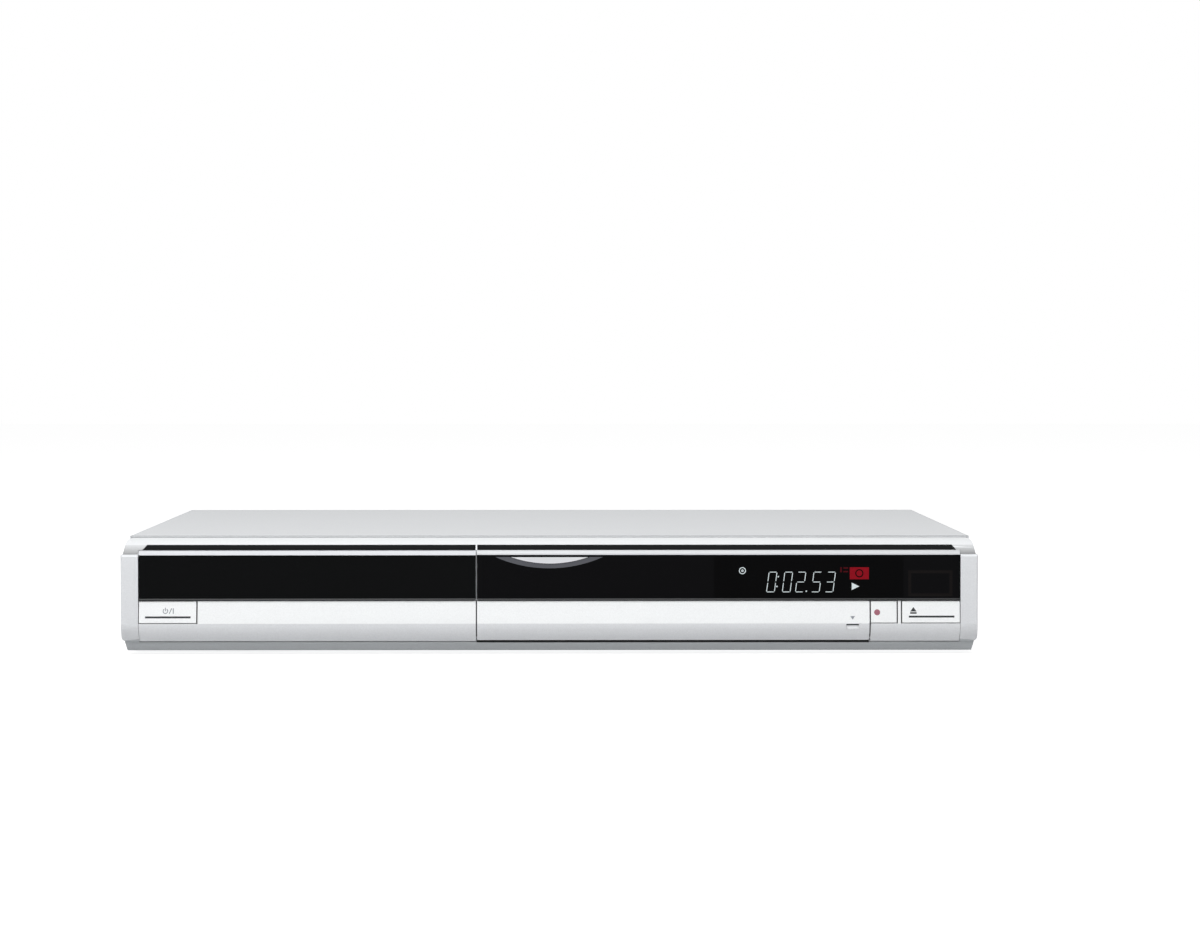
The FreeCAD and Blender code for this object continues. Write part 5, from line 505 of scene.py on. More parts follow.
def softened(node: str, finish: Finish, width: float = 0.0, body: Body = Body.CASE) -> Object:
    """Stand a piece in for a solid, merged, with its long sharp edges broken.

    Args:
        node: The solid's name.
        finish: Its surface.
        width: The width of the broken edge in millimetres, or 0 for none.
        body: What it moves with.

    Returns:
        The piece.
    """
    mesh = node_mesh(node)
    if width:
        work = bmesh.new()
        work.from_mesh(mesh)
        long_enough = [edge for edge in work.edges
                       if edge.is_manifold and edge.calc_length() > LONG_EDGE * width * MM
                       and edge.calc_face_angle(0.0) > SHARP
                       and min(face.calc_area() for face in edge.link_faces)
                       > edge.calc_length() * width * MM * 2]
        bmesh.ops.bevel(work, geom=long_enough, offset=width * MM, segments=2, profile=0.6,
                        affect="EDGES", clamp_overlap=True, loop_slide=True)
        bmesh.ops.recalc_face_normals(work, faces=work.faces)
        work.to_mesh(mesh)
        work.free()
    return finished(node + "_skin", mesh, finish, body, (node,))


@dataclass(frozen=True)
class Zone:
    """A box in millimetres whose faces take a finish of their own."""

    finish: Finish
    low: Spot
    high: Spot

    def holds(self, spot: Vector) -> bool:
        """Tell whether a place lies inside."""
        return all(low <= part / MM <= high for low, part, high in zip(self.low, spot, self.high))


FRONT_SIDE = 216
FRONT_REACH = -171
FRONT_TOP = 60


def front_zone(finish: Finish, low: float, high: float, left: float = -FRONT_SIDE, right: float = FRONT_SIDE,
               rear: float = -140) -> Zone:
    """A zone of the front between two heights, right across it unless it's given its sides."""
    return Zone(finish, (left, FRONT_REACH, low), (right, rear, high))


# The lower curve below the crease of the panels and the flap: a darker copy of the band's paint, as painted shade.
LOWER_CURVE_SHADE = front_zone(CURVE_SHADED_SILVER, 0, 16.1, rear=-163)
# The lip of the display window and the tray door: a lighter grey as painted reflection.
PANEL_LIP_REFLECTION = front_zone(LIP_REFLECTION_GREY, 27, 28.9, rear=-168.9)


def paint(piece: Object, zones: Sequence[Zone]) -> None:
    """Give the faces in each zone that zone's finish.

    Args:
        piece: The dressed piece.
        zones: The zones, of which the last that holds a face counts.
    """
    mesh = piece.data
    for zone in zones:
        mesh.materials.append(zone.finish.material())
        number = len(mesh.materials) - 1
        for face in mesh.polygons:
            if zone.holds(face.center):
                face.material_index = number


def bare_shaded_sides(piece: Object, finish: Finish, forward: float = -0.3) -> None:
    """Leave the faces that look away from the front unpainted, as masked before spraying; their dark grey also
    stands as painted shade in the seams between parts.

    Args:
        piece: The dressed piece.
        finish: The bare plastic, dark as painted shade in the seams.
        forward: The most that a painted face's normal may have along the depth.
    """
    mesh = piece.data
    mesh.materials.append(finish.material())
    for face in mesh.polygons:
        if face.normal.y > forward:
            face.material_index = len(mesh.materials) - 1


def dress(node: str, finish: Finish) -> None:
    """Give a carried-over solid its finish.

    Args:
        node: The solid's name.
        finish: Its surface.
    """
    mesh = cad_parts[node].data
    if not mesh.materials:
        mesh.materials.append(None)
    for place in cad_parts[node].material_slots:
        place.material = finish.material()


@dataclass(frozen=True)
class Face:
    """A plane that thin plates lie on: its depth at a height, and its lean back for each millimetre up."""

    depth: float
    height: float = 0.0
    lean: float = 0.0
    outward: float = -1.0

    def spot(self, across: float, up: float, out: float) -> Vector:
        """The place in metres over the plane, by millimetres across, up and out in front of it."""
        return Vector((across, self.depth + (up - self.height) * self.lean + out * self.outward, up)) * MM


@dataclass(frozen=True)
class Ring:
    """A flat ring: its centre, and its outer and inner radius in millimetres."""

    centre: Pair
    outer: float
    inner: float


BAND = Face(-170.0, 16.2, 1.2 / 11.3)
GLOSS = Face(-169.1)
FRONT_MOUTH = Face(-164.5)
REAR_MOUTH = Face(168.65, outward=1.0)


def facing(outline: Outline, face: Face) -> Outline:
    """Turn an outline so that its plate faces out of the plane.

    Args:
        outline: The corners, in either direction.
        face: The plane that the plate lies on.

    Returns:
        The corners, in the direction that faces outwards.
    """
    after = [*outline[1:], outline[0]]
    area = sum(start[0] * end[1] - end[0] * start[1] for start, end in zip(outline, after))
    return outline if area * face.outward < 0 else outline[::-1]


def plates(name: str, face: Face, outlines: Sequence[Outline | Ring], finish: Finish,
           body: Body = Body.CASE, proud: float = 0.04) -> Object:
    """Thin closed plates of any outline as one piece, such as printed marks.

    Args:
        name: The piece's name.
        face: The plane that they lie on.
        outlines: The corners of each, across and up in millimetres, or a flat ring.
        finish: Their surface.
        body: What they move with.
        proud: How far they stand in front of the plane in millimetres.

    Returns:
        The piece.
    """
    work = bmesh.new()
    for outline in outlines:
        if isinstance(outline, Ring):
            outer, inner = (facing(arc(outline.centre, radius, 0, 360)[:-1], face)
                            for radius in (outline.outer, outline.inner))
            loops = ((outer, proud), (outer, -PLATE_SUNK), (inner, -PLATE_SUNK), (inner, proud))
        else:
            turned = facing(outline, face)
            loops = ((turned, proud), (turned, -PLATE_SUNK))
        rows = [[work.verts.new(face.spot(across, up, out)) for across, up in loop] for loop, out in loops]
        if len(rows) == 2:
            work.faces.new(rows[0])
            work.faces.new(rows[1][::-1])
        walls = list(zip(rows, rows[1:] + rows[:1])) if len(rows) > 2 else [tuple(rows)]
        for here, there in walls:
            for at in range(len(here)):
                after = (at + 1) % len(here)
                work.faces.new((here[at], there[at], there[after], here[after]))
    return finished(name, written(work, name), finish, body, smooth=False)


def bar(left: float, right: float, low: float, high: float) -> Outline:
    """The corners of an upright rectangle."""
    return [(left, low), (right, low), (right, high), (left, high)]


def arc(centre: Pair, radius: float, start: float, end: float, count: int = 24) -> list[Pair]:
    """Points along a circle's arc between two angles in degrees, in a count of steps."""
    angles = [math.radians(start + (end - start) * step / count) for step in range(count + 1)]
    return [(centre[0] + radius * math.cos(angle), centre[1] + radius * math.sin(angle)) for angle in angles]


GEOMETRY = "NodeSocketGeometry"
NUMBER = "NodeSocketFloat"
SURFACE = "NodeSocketMaterial"


@dataclass
class Repeater:
    """A Geometry Nodes tree that sets one fitting at many places."""

    name: str
    sizes: dict[str, float]
    tree: Tree = field(init=False)
    given: Node = field(init=False)

    def __post_init__(self) -> None:
        """Open the tree with a named input for each size."""
        self.tree = bpy.data.node_groups.new(self.name, "GeometryNodeTree")
        self.tree.interface.new_socket("Places", in_out="INPUT", socket_type=GEOMETRY)
        self.tree.interface.new_socket("Finish", in_out="INPUT", socket_type=SURFACE)
        for label in self.sizes:
            self.tree.interface.new_socket(label, in_out="INPUT", socket_type=NUMBER)
        self.tree.interface.new_socket("Fittings", in_out="OUTPUT", socket_type=GEOMETRY)
        self.given = add_node(self.tree, "NodeGroupInput")

    def size(self, label: str) -> Socket:
        """The output that carries a named size."""
        return self.given.outputs[label]

    def scaled(self, value: Socket, share: float) -> Socket:
        """A size times a number."""
        return add_node(self.tree, "ShaderNodeMath", {"operation": "MULTIPLY", 1: share}, {0: value}).outputs[0]

    def shifted(self, solid: Socket, height: Socket) -> Socket:
        """Move a solid up by a height."""
        lift = add_node(self.tree, "ShaderNodeCombineXYZ", links={"Z": height}).outputs[0]
        return add_node(self.tree, "GeometryNodeTransform", links={
            "Geometry": solid, "Translation": lift}).outputs[0]

    def box(self, across: str, along: str, height: Socket) -> Socket:
        """A box about the origin, by the names of two sizes and its height."""
        shape = add_node(self.tree, "ShaderNodeCombineXYZ", links={
            "X": self.size(across), "Y": self.size(along), "Z": height})
        return add_node(self.tree, "GeometryNodeMeshCube", links={"Size": shape.outputs[0]}).outputs["Mesh"]

    def joined(self, *solids: Socket) -> Socket:
        """Put several solids together."""
        whole = add_node(self.tree, "GeometryNodeJoinGeometry")
        for solid in solids:
            self.tree.links.new(solid, whole.inputs[0])
        return whole.outputs[0]

    def united(self, *solids: Socket) -> Socket:
        """Make one closed solid of several that touch."""
        whole = add_node(self.tree, "GeometryNodeMeshBoolean", {"operation": "UNION", "solver": "EXACT"})
        for solid in solids:
            self.tree.links.new(solid, whole.inputs["Mesh 2"])
        return whole.outputs["Mesh"]

    def close(self, fitting: Socket) -> None:
        """Set the fitting at each place, turned by the place's aim.

        Args:
            fitting: One fitting about the origin, that looks up.
        """
        aim = add_node(self.tree, "GeometryNodeInputNamedAttribute", {"data_type": "FLOAT_VECTOR", "Name": "aim"})
        turn = add_node(self.tree, "FunctionNodeAlignRotationToVector", {"axis": "Z"},
                        {"Vector": aim.outputs["Attribute"]})
        spread = add_node(self.tree, "GeometryNodeInstanceOnPoints", links={
            "Points": self.given.outputs["Places"], "Instance": fitting, "Rotation": turn.outputs[0]})
        real = add_node(self.tree, "GeometryNodeRealizeInstances", links={"Geometry": spread.outputs[0]})
        coated = add_node(self.tree, "GeometryNodeSetMaterial", links={
            "Geometry": real.outputs[0], "Material": self.given.outputs["Finish"]})
        add_node(self.tree, "NodeGroupOutput", links={"Fittings": coated.outputs[0]})

    def grown(self, places: Sequence[Spot], aims: Sequence[Spot], finish: Finish) -> Mesh:
        """Run the tree over places and keep the result as a plain mesh.

        Args:
            places: Where the fittings stand, in millimetres.
            aims: The way that each one looks.
            finish: Their surface.

        Returns:
            The mesh.
        """
        seeds = bpy.data.meshes.new(self.name + "_places")
        seeds.from_pydata([Vector(place) * MM for place in places], [], [])
        aim = seeds.attributes.new("aim", "FLOAT_VECTOR", "POINT")
        for at, way in enumerate(aims):
            aim.data[at].vector = way
        holder = placed(self.name + "_holder", seeds)
        modifier = holder.modifiers.new("fittings", "NODES")
        modifier.node_group = self.tree
        values = {"Finish": finish.material(), **{label: size * MM for label, size in self.sizes.items()}}
        for socket in self.tree.interface.items_tree:
            if socket.in_out == "INPUT" and socket.name in values:
                modifier[socket.identifier] = values[socket.name]
        mesh = bpy.data.meshes.new_from_object(holder.evaluated_get(bpy.context.evaluated_depsgraph_get()))
        mesh.name = self.name
        holder.modifiers.remove(modifier)
        bpy.data.objects.remove(holder)
        if "aim" in mesh.attributes:
            mesh.attributes.remove(mesh.attributes["aim"])
        return mesh


def screw_tree() -> Repeater:
    """A pan-head screw with a cross recess, its seat at the origin.

    Returns:
        The repeater.
    """
    made = Repeater("cross_screw", {"Head Radius": 3.0, "Crown Radius": 2.3, "Head Height": 1.9,
                                    "Shank Radius": 1.5, "Shank Length": 3.8, "Recess Length": 3.2,
                                    "Recess Width": 0.75, "Recess Depth": 1.1})
    half = made.scaled(made.size("Head Height"), 0.5)
    rim = add_node(made.tree, "GeometryNodeMeshCylinder", {"Vertices": 32}, {
        "Radius": made.size("Head Radius"), "Depth": half})
    crown = add_node(made.tree, "GeometryNodeMeshCone", {"Vertices": 32}, {
        "Radius Top": made.size("Crown Radius"), "Radius Bottom": made.size("Head Radius"), "Depth": half})
    head = made.united(made.shifted(rim.outputs["Mesh"], made.scaled(half, 0.5)),
                       made.shifted(crown.outputs["Mesh"], half))
    deep = made.scaled(made.size("Recess Depth"), 2.0)
    slots = [made.shifted(made.box(across, along, deep), made.size("Head Height"))
             for across, along in (("Recess Length", "Recess Width"), ("Recess Width", "Recess Length"))]
    recessed = add_node(made.tree, "GeometryNodeMeshBoolean", {"operation": "DIFFERENCE", "solver": "EXACT"},
                        {"Mesh 1": head})
    for slot in slots:
        made.tree.links.new(slot, recessed.inputs["Mesh 2"])
    shank = add_node(made.tree, "GeometryNodeMeshCylinder", {"Vertices": 16}, {
        "Radius": made.size("Shank Radius"), "Depth": made.size("Shank Length")})
    lowered = made.shifted(shank.outputs["Mesh"], made.scaled(made.size("Shank Length"), -0.5))
    made.close(made.joined(recessed.outputs["Mesh"], lowered))
    return made


def contact_tree() -> Repeater:
    """A flat spring contact that stands out of a socket's floor.

    Returns:
        The repeater.
    """
    made = Repeater("blade_contact", {"Width": 1.5, "Thickness": 0.5, "Length": 9.0})
    blade = made.box("Width", "Thickness", made.size("Length"))
    made.close(made.shifted(blade, made.scaled(made.size("Length"), 0.5)))
    return made


@dataclass
class Casework:
    """The steel case: cover, chassis, rear panel, feet and their screws."""

    cover_edge: float = 0.25
    cover_lip: float = -153.7
    foot_edge: float = 0.6
    side: float = 212.0
    side_depths: Pair = (-128.0, 109.0)
    side_height: float = 17.0
    rear: Pair = (161.8, 54.8)
    rear_half: float = 198.0
    foot_side: float = 162.0
    foot_depths: Pair = (-118.0, 109.0)
    foot_seat: float = 2.2

    def build(self) -> None:
        """Stand the dressed case pieces in for their solids."""
        cover = softened("top_cover", COVER_PAINT, self.cover_edge)
        # The cover's front edge is dark grey as painted shade.
        paint(cover, [Zone(COVER_EDGE_SHADE, (-213, -155, 58), (213, self.cover_lip, FRONT_TOP))])
        softened("bottom_chassis", ZINC)
        softened("rear_panel", ZINC)
        softened("feet", FOOT_RUBBER, self.foot_edge)
        self.screws()

    def screws(self) -> None:
        """The cover's and the feet's cross-head screws."""
        seats = []
        for side in (-1, 1):
            seats += [((self.side * side, depth, self.side_height), (side, 0, 0)) for depth in self.side_depths]
            seats += [((self.foot_side * side, depth, self.foot_seat), (0, 0, -1)) for depth in self.foot_depths]
        seats += [((across, *self.rear), (0, 1, 0)) for across in (-self.rear_half, 0, self.rear_half)]
        places, aims = zip(*seats)
        mesh = screw_tree().grown(places, aims, BLACK_SCREW)
        finished("case_screws_skin", mesh, BLACK_SCREW, replaced=("case_screws",))


@dataclass
class FrontPanel:
    """The painted front with its black bands, the display window and the crescent."""

    edge: float = 0.3
    panel_edge: float = 0.15
    plinth_top: float = 7.6
    shoulder_low: float = 52.6
    strip_low: float = 50.4
    strip_left: float = -37
    strip_rear: float = -160
    cap_top: float = 50.8
    cap_inner: float = 206.2
    crease: Pair = (15.7, 16.7)
    ring_top: float = 49.6
    ring_outer: tuple[Pair, float] = ((-0.25, 110.8), 66.9)
    ring_inner: tuple[Pair, float] = ((0.0, 106.3), 60.15)

    def build(self) -> None:
        """Stand the dressed front in for its solids."""
        fascia = softened("front_fascia", SILVER, self.edge)
        self.blend_crease(fascia)
        # The fascia's one silver paint, lighter or darker zone by zone as painted light and painted shade; the
        # shoulder top is lighter as painted light.
        zones = [front_zone(SHOULDER_LIT_SILVER, self.shoulder_low, FRONT_TOP),
                 # The strip is darker as painted shade.
                 front_zone(STRIP_SHADED_SILVER, self.strip_low, self.shoulder_low, self.strip_left, self.cap_inner,
                            self.strip_rear)]
        # The end caps are lighter as painted light.
        # The end caps' shoulders darken towards their foot as painted shade.
        for finish, low, high in ((CAP_LIT_SILVER, self.plinth_top, self.cap_top), (SHOULDER_SHADE_FADE, self.cap_top, FRONT_TOP)):
            zones += [front_zone(finish, low, high, right=-self.cap_inner),
                      front_zone(finish, low, high, left=self.cap_inner)]
        # The plinth is darker as painted shade.
        paint(fascia, [*zones, front_zone(PLINTH_SHADE, 0, self.plinth_top)])
        for node in ("left_lower_panel", "right_lower_panel"):
            # Each panel's band is lighter as painted light, its lower curve darker as painted shade.
            panel = softened(node, BAND_LIT_SILVER, self.panel_edge)
            paint(panel, [LOWER_CURVE_SHADE])
            # The panel's sides are bare grey, also painted shade in its seams.
            bare_shaded_sides(panel, BARE_SHADE_GREY)
        softened("top_inlay", STRIP_BLACK, self.edge)
        paint(softened("display_window", SMOKED, self.edge), [PANEL_LIP_REFLECTION])
        softened("crescent_inlay", PALE_INLAY)
        softened("inner_panel", BLACK_ABS)
        softened("remote_sensor", SMOKED)
        softened("display_tube", TUBE)
        self.disc_ring()

    def blend_crease(self, fascia: Object) -> None:
        """Round the shading over the end caps' crease, which runs sharp over the panels between them.

        Args:
            fascia: The dressed fascia.
        """
        mesh = fascia.data
        for edge in mesh.edges:
            ends = [mesh.vertices[at].co / MM for at in edge.vertices]
            if all(abs(end.x) > self.cap_inner and self.crease[0] < end.z < self.crease[1] for end in ends):
                edge.use_edge_sharp = False

    def disc_ring(self) -> None:
        """The grey printed ring round the crescent."""
        (centre, outer), (inner_centre, inner) = self.ring_outer, self.ring_inner
        low = math.degrees(math.asin((centre[1] - self.ring_top) / outer))
        near = math.degrees(math.asin((inner_centre[1] - self.ring_top) / inner))
        outline = arc(centre, outer, -180 + low, -low, 40) + arc(inner_centre, inner, -near, -180 + near, 40)
        plates("crescent_ring", GLOSS, [outline], RING_GREY, proud=0.02)


@dataclass
class Keys:
    """The painted keys of the front and the small grey keys behind the flap."""

    edge: float = 0.2
    # How far round the keys' edges the bare grey reaches; set wide to deepen the painted shade in their seams.
    seam_shade_from: float = -0.6
    line: float = 0.95
    power_centre: Pair = (-192.6, 22.5)
    small_face: float = -158.6
    small_height: float = 18.6

    def build(self) -> None:
        """Stand the dressed keys in for their solids, and print their signs."""
        # The keys' faces take the band's lighter copy of the silver, as painted light.
        for node, body in (("power_button", Body.POWER), ("record_button", Body.RECORD),
                           ("eject_button", Body.EJECT)):
            # The keys' bare grey sides are also painted shade in their seams.
            bare_shaded_sides(softened(node, BAND_LIT_SILVER, self.edge, body), BARE_SHADE_GREY, self.seam_shade_from)
        for node, body in (("channel_down_button", Body.CHANNEL_DOWN), ("channel_up_button", Body.CHANNEL_UP),
                           ("stop_button", Body.STOP), ("play_button", Body.PLAY)):
            softened(node, KEY_GREY, self.edge, body)
        self.front_marks()
        self.small_marks()

    def underline(self, left: float, right: float, middle: float) -> Outline:
        """The line under a key's sign."""
        return bar(left, right, middle - self.line / 2, middle + self.line / 2)

    def front_marks(self) -> None:
        """The signs of power, record and eject, with their lines, and the flap's triangle."""
        power = [arc(self.power_centre, 1.35, -235, 55) + arc(self.power_centre, 0.95, 55, -235),
                 bar(-192.8, -192.4, 22.5, 24.2),
                 [(-190.9, 21.2), (-190.45, 21.2), (-189.25, 23.9), (-189.7, 23.9)],
                 bar(-188.9, -188.45, 21.2, 23.9)]
        eject = [[(181.0, 22.1), (184.2, 22.1), (182.6, 24.3)], bar(181.0, 184.2, 20.95, 21.75),
                 self.underline(180.3, 203.2, 19.55)]
        for name, marks, finish, body in (
                ("power_mark", power, INK_GREY, Body.POWER),
                ("power_line", [self.underline(-202.8, -180.0, 19.4)], INK_DARK, Body.POWER),
                ("record_mark", [arc((164.35, 21.7), 1.5, 0, 345, 23)], INK_RECORD, Body.RECORD),
                ("eject_mark", eject, INK_DARK, Body.EJECT),
                ("flap_mark", [[(150.85, 19.85), (152.05, 18.05), (153.25, 19.85)]], INK_GREY, Body.FLAP)):
            plates(name, BAND, marks, finish, body)

    def small_marks(self) -> None:
        """Plain symbols on the keys behind the flap."""
        for name, body, middle, shape in (
                ("channel_down_mark", Body.CHANNEL_DOWN, -21.5, [(-1.2, 0.8), (0.0, -1.0), (1.2, 0.8)]),
                ("channel_up_mark", Body.CHANNEL_UP, -6.5, [(-1.2, -0.8), (1.2, -0.8), (0.0, 1.0)]),
                ("stop_mark", Body.STOP, 8.5, [(-0.9, -0.9), (0.9, -0.9), (0.9, 0.9), (-0.9, 0.9)]),
                ("play_mark", Body.PLAY, 23.5, [(-0.9, -1.1), (1.1, 0.0), (-0.9, 1.1)])):
            outline = [(middle + across, self.small_height + up) for across, up in shape]
            plates(name, Face(self.small_face), [outline], INK_DARK, body)


SEGMENTS = {"0": "abcdef", "2": "abged", "3": "abgcd", "5": "afgcd"}


@dataclass
class Display:
    """What the lit display shows through the smoked window."""

    low: float = 31.8
    high: float = 42.1
    width: float = 4.3
    stroke: float = 0.36
    gap: float = 0.18
    dot: float = 0.65
    slant: float = math.tan(math.radians(7.5))
    digits: Sequence[tuple[str, float]] = (("0", 108.6), ("0", 116.5), ("2", 123.1), ("5", 131.1), ("3", 138.0))
    dots: Sequence[Pair] = ((113.35, 34.4), (113.35, 39.3), (128.4, 32.0))
    disk: Pair = (96.7, 42.65)

    def build(self) -> None:
        """Light the counter, the signs beside it and the frame of the sensor."""
        strokes = [outline for shown, left in self.digits for outline in self.digit(shown, left)]
        strokes += [self.leaning(bar(across, across + self.dot, up, up + self.dot)) for across, up in self.dots]
        strokes.append([(151.6, 32.9), (155.4, 34.75), (151.6, 36.6)])
        dim = [bar(145.8, 146.6, 41.8, 44.35), bar(147.4, 149.8, 43.6, 44.35), bar(147.4, 149.8, 41.8, 42.5)]
        sensor = [bar(180.0, 202.2, 41.3, 42.8), bar(180.0, 202.2, 29.7, 31.2),
                  bar(180.0, 181.5, 31.25, 41.25), bar(200.7, 202.2, 31.25, 41.25)]
        for name, outlines, finish, proud in (
                ("display_mask", [bar(82.4, 177.6, 28.95, 49.9)], MASK, 0.01),
                ("display_counter", strokes, LIT_PALE, 0.04),
                ("display_block", [bar(150.6, 160.2, 38.3, 44.35)], LIT_RED, 0.03),
                ("display_block_ring", [Ring((155.4, 41.3), 2.1, 1.5)], MASK, 0.05),
                ("display_dim_marks", dim, LIT_DIM, 0.04),
                ("display_disk_sign", [Ring(self.disk, 1.75, 1.35), Ring(self.disk, 0.6, 0.2)], LIT_PALE, 0.04),
                ("sensor_frame", sensor, FRAME_BROWN, 0.01)):
            plates(name, GLOSS, outlines, finish, proud=proud)

    def leaning(self, outline: Outline) -> Outline:
        """An outline slanted as the digits are."""
        return [(across + (up - self.low) * self.slant, up) for across, up in outline]

    def digit(self, shown: str, left: float) -> list[Outline]:
        """The lit strokes of one digit.

        Args:
            shown: The digit.
            left: Its lower left corner.

        Returns:
            The outline of each stroke.
        """
        right = left + self.width
        middle = (self.low + self.high) / 2
        half = self.stroke / 2
        near = left + self.stroke + self.gap
        far = right - self.stroke - self.gap
        flat = {"a": self.high - half, "g": middle, "d": self.low + half}
        tall = {"b": (right - half, middle, self.high), "c": (right - half, self.low, middle),
                "f": (left + half, middle, self.high), "e": (left + half, self.low, middle)}
        made = []
        for part in SEGMENTS[shown]:
            if part in flat:
                height = flat[part]
                made.append([(near - half, height), (near, height - half), (far, height - half),
                             (far + half, height), (far, height + half), (near, height + half)])
            else:
                across, low, high = tall[part]
                start = low + half + self.gap
                end = high - half - self.gap
                made.append([(across, start), (across + half, start + half), (across + half, end - half),
                             (across, end), (across - half, end - half), (across - half, start + half)])
        return [self.leaning(outline) for outline in made]


@dataclass
class DiscDoor:
    """The tray with its black door and silver trim."""

    edge: float = 0.3

    def build(self) -> None:
        """Stand the dressed tray pieces in for their solids."""
        softened("disc_tray", LOADER_ABS, self.edge, Body.TRAY)
        paint(softened("tray_door", GLOSS_BLACK, self.edge, Body.TRAY), [PANEL_LIP_REFLECTION])
        softened("tray_door_trim", SILVER, self.edge, Body.TRAY)


@dataclass
class Flap:
    """The hinged flap over the front sockets."""

    edge: float = 0.3
    notch_sides: Pair = (148.9, 155.2)
    notch_heights: Pair = (13.4, 15.8)
    notch_floor: float = -169.0
    rim: float = 0.1
    shade: float = 0.6

    def build(self) -> None:
        """Stand the dressed flap in for its solid, and shade its finger notch."""
        # The flap's band is lighter as painted light, its lower curve darker as painted shade.
        flap = softened("front_flap", BAND_LIT_SILVER, self.edge, Body.FLAP)
        paint(flap, [LOWER_CURVE_SHADE])
        # The flap's bare grey sides are also painted shade in its seams.
        bare_shaded_sides(flap, BARE_SHADE_GREY)
        (left, right), (low, high) = self.notch_sides, self.notch_heights
        # The notch's walls and a dark strip at its top edge: painted shade under the notch's overhang.
        paint(flap, [Zone(BARE_SHADE_GREY, (left - self.rim, self.notch_floor - 1.1, low - self.rim),
                          (right + self.rim, self.notch_floor - 0.1, high + self.rim))])
        plates("flap_notch_shade", Face(self.notch_floor), [bar(left, right, high - self.shade, high)], BARE_SHADE_GREY,
               Body.FLAP)


@dataclass
class Sockets:
    """The sockets at the back and behind the flap, with their coloured inserts and contacts."""

    insert: float = 3.55
    bore: float = 1.75
    proud: float = 0.06
    rear_rows: Pair = (19.4, 33.4)
    front_row: float = 18.6
    pins: Pair = (171.7, 180.3)
    scart_x: float = -96.0
    scart_rows: Pair = (19.9, 39.9)
    contact_foot: float = 151.8
    contact_count: int = 10
    contact_pitch: float = 3.8
    contact_rows: float = 2.6
    contact_shift: float = 0.6

    def build(self) -> None:
        """Dress the sockets and set their small parts."""
        for node in ("av_in_sockets", "av_out_sockets", "dv_in"):
            softened(node, NICKEL)
        paint(softened("digital_sockets", NICKEL), [
            Zone(BLACK_ABS, (36, 100, 0), (60, 171, 40)), Zone(BLACK_ABS, (18, 140, 14.8), (31, 161.2, 17.6))])
        softened("scart_sockets", BLACK_ABS)
        paint(softened("tuner_unit", ZINC), [Zone(NICKEL, (-190, 160.3, 10), (-140, 171, 40))])
        paint(softened("ac_inlet", BLACK_ABS), [
            Zone(NICKEL, (across - 1.3, 148.5, 18.7), (across + 1.3, 161.5, 21.3)) for across in self.pins])
        softened("s_video_in", BLACK_ABS)
        self.inserts()
        self.contacts()

    def inserts(self) -> None:
        """Yellow, white and red rings in the mouths of the phono sockets."""
        for colour, hexed, rear, front in (("yellow", "d8b01c", -48.0, 82.0), ("white", "e4e4e0", -34.0, 96.0),
                                           ("red", "b01e22", -20.0, 110.0)):
            finish = GrainedPlastic("moulded_insert_" + colour, hexed, 0.42, depth=0.01)
            for end, mouth, across, heights in (("rear", REAR_MOUTH, rear, self.rear_rows),
                                                ("front", FRONT_MOUTH, front, (self.front_row,))):
                rings = [Ring((across, height), self.insert, self.bore) for height in heights]
                plates("%s_insert_%s" % (end, colour), mouth, rings, finish, proud=self.proud)

    def contacts(self) -> None:
        """Two rows of spring contacts in each of the wide sockets."""
        middle = (self.contact_count - 1) / 2
        places = [(self.scart_x + self.contact_pitch * (number - middle) + row * self.contact_shift,
                   self.contact_foot, height + self.contact_rows * row)
                  for height in self.scart_rows for row in (-1, 1) for number in range(self.contact_count)]
        mesh = contact_tree().grown(places, [(0, 1, 0)] * len(places), NICKEL)
        finished("scart_contacts", mesh, NICKEL, smooth=False)


@dataclass
class Insides:
    """Everything behind the panels, carried over with its finish or dressed zone by zone."""

    finishes: Sequence[tuple[Finish, str]] = (
        (ZINC, "drive_case drive_lid hdd_bracket traverse_frame"), (PLAIN_STEEL, "guide_rods sled_screw"),
        (LOADER_ABS, "loader_base disc_clamper turntable"), (BLACK_ABS, "fan_frame fan_rotor"),
        (LENS, "pickup_lens"), (BOARD, "front_board hdd_board"), (BELT, "loading_belt"),
        (ACETAL, "tray_gear pulley_gear cam_slider motor_pulley"), (ALLOY, "hdd_case laser_pickup"),
        (MOTOR_STEEL, "loading_motor spindle_motor sled_motor"), (RIBBON, "ribbon_cables"))

    def build(self) -> None:
        """Dress each solid, the two boards with their parts zone by zone."""
        for finish, nodes in self.finishes:
            for node in nodes.split():
                dress(node, finish)
        main_board = softened("main_board", BOARD)
        paint(main_board, [Zone(BLACK_ABS, (-120, 92, 12.5), (84, 160, 30)),
                           Zone(ALLOY, (-51, 97, 12.5), (-15, 127, 30))])
        supply = softened("power_supply", BOARD)
        paint(supply, [Zone(SLEEVE_BLACK, (110, -34, 12.5), (180, -14, 42.3)),
                       Zone(MOTOR_STEEL, (110, -34, 42.3), (180, -14, 43)),
                       Zone(ALLOY, (109, -77, 12.5), (171, -50, 43)),
                       Zone(BLACK_ABS, (135, 5, 12.5), (171, 37, 39)),
                       Zone(AIR_GAP_TAPE, (140, 1, 12.5), (166, 5.9, 39)),
                       Zone(AIR_GAP_TAPE, (140, 36.1, 12.5), (166, 41, 39))])


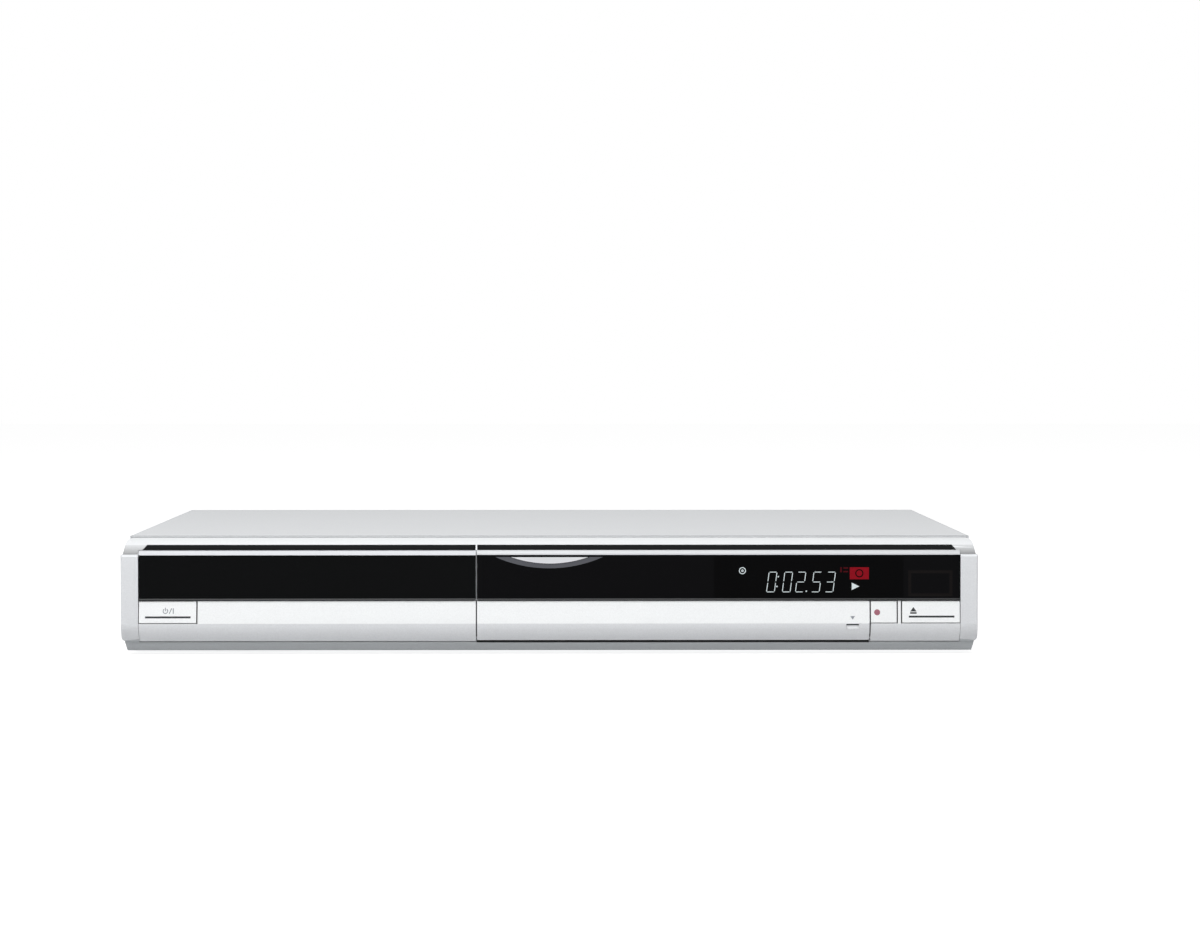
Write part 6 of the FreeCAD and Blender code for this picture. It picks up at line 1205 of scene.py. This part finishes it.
@dataclass
class Studio:
    """The stage: floor, soft light and the camera of the photograph."""

    camera_place: Spot = (7.1, -2056.8, 152.0)
    camera_pitch: float = 1.852
    camera_yaw: float = 0.550
    camera_reach: float = 100.0
    lens: float = 113.05
    floor_reach: float = 6000.0
    floor_lift: float = 0.80
    floor_grey: str = "cccccc"
    world_level: float = 0.30
    background: str = "ffffff"

    def build(self) -> None:
        """Make the floor, the light and the camera."""
        bpy.context.scene.view_settings.view_transform = "Standard"
        self.make_world(bpy.context.scene)
        self.make_floor()
        self.lamp("lamp_above", (0, -300, 1900), 1.6, 3.0)
        self.lamp("lamp_ahead", (-300, -1500, 1600), 1.4, 35.0)
        self.make_camera(bpy.context.scene)

    def make_world(self, scene: Scene) -> None:
        """Plain light from all round, white where the camera sees it.

        Args:
            scene: The scene.
        """
        scene.world = bpy.data.worlds.new("studio_light")
        tree = cleared(scene.world)
        level = add_node(tree, "ShaderNodeMapRange", {"To Min": self.world_level, "To Max": 1.0},
                         {"Value": self.seen_rays(tree)})
        light = add_node(tree, "ShaderNodeBackground", {"Color": linear(self.background)},
                         {"Strength": level.outputs["Result"]})
        add_node(tree, "ShaderNodeOutputWorld", links={"Surface": light.outputs["Background"]})

    def seen_rays(self, tree: Tree) -> Socket:
        """The rays that show the background: the camera's, and those through gloss and glass.

        Args:
            tree: The tree that asks.

        Returns:
            1 for such a ray, otherwise 0.
        """
        path = add_node(tree, "ShaderNodeLightPath").outputs
        both = add_node(tree, "ShaderNodeMath", {"operation": "ADD"},
                        {0: path["Is Camera Ray"], 1: path["Is Glossy Ray"]})
        every = add_node(tree, "ShaderNodeMath", {"operation": "ADD", "use_clamp": True},
                         {0: both.outputs[0], 1: path["Is Transmission Ray"]})
        return every.outputs[0]

    def make_floor(self) -> None:
        """A wide pale floor that keeps the recorder's shadow."""
        work = bmesh.new()
        bmesh.ops.create_grid(work, x_segments=2, y_segments=2, size=self.floor_reach * MM)
        mesh = written(work, "studio_floor")
        material = bpy.data.materials.new("matt_paper_floor")
        tree = cleared(material)
        paper = add_node(tree, "ShaderNodeBsdfDiffuse", {"Color": linear(self.floor_grey)})
        level = add_node(tree, "ShaderNodeMath", {"operation": "MULTIPLY", 1: self.floor_lift},
                         {0: self.seen_rays(tree)})
        lift = add_node(tree, "ShaderNodeEmission", {"Color": linear(self.background)},
                        {"Strength": level.outputs[0]})
        both = add_node(tree, "ShaderNodeAddShader", links={0: paper.outputs[0], 1: lift.outputs[0]})
        add_node(tree, "ShaderNodeOutputMaterial", links={"Surface": both.outputs[0]})
        mesh.materials.append(material)
        placed("studio_floor", mesh)

    def lamp(self, name: str, place: Spot, side: float, power: float) -> None:
        """A square soft lamp that looks at the recorder.

        Args:
            name: Its name.
            place: Its place in millimetres.
            side: Its side in metres.
            power: Its power in watts.
        """
        data = bpy.data.lights.new(name, "AREA")
        data.size = side
        data.energy = power
        lamp = placed(name, data)
        lamp.location = Vector(place) * MM
        lamp.rotation_euler = (-lamp.location).to_track_quat("-Z", "Y").to_euler()

    def make_camera(self, scene: Scene) -> None:
        """The camera, as far and as high as the photograph's.

        Args:
            scene: The scene.
        """
        data = bpy.data.cameras.new("camera")
        data.lens = self.lens
        data.clip_end = self.camera_reach
        camera = placed("camera", data)
        camera.location = Vector(self.camera_place) * MM
        camera.rotation_euler = (math.radians(90 - self.camera_pitch), 0, math.radians(-self.camera_yaw))
        scene.camera = camera


def main() -> None:
    """Build the recorder's sub-assemblies in order, and its stage."""
    logging.basicConfig(level=logging.INFO, format="%(name)s %(message)s")
    for part in (Casework(), FrontPanel(), Display(), Keys(), DiscDoor(), Flap(), Sockets(), Insides(), Studio()):
        LOG.info("building %s", type(part).__name__)
        part.build()


if __name__ == "__main__":
    main()
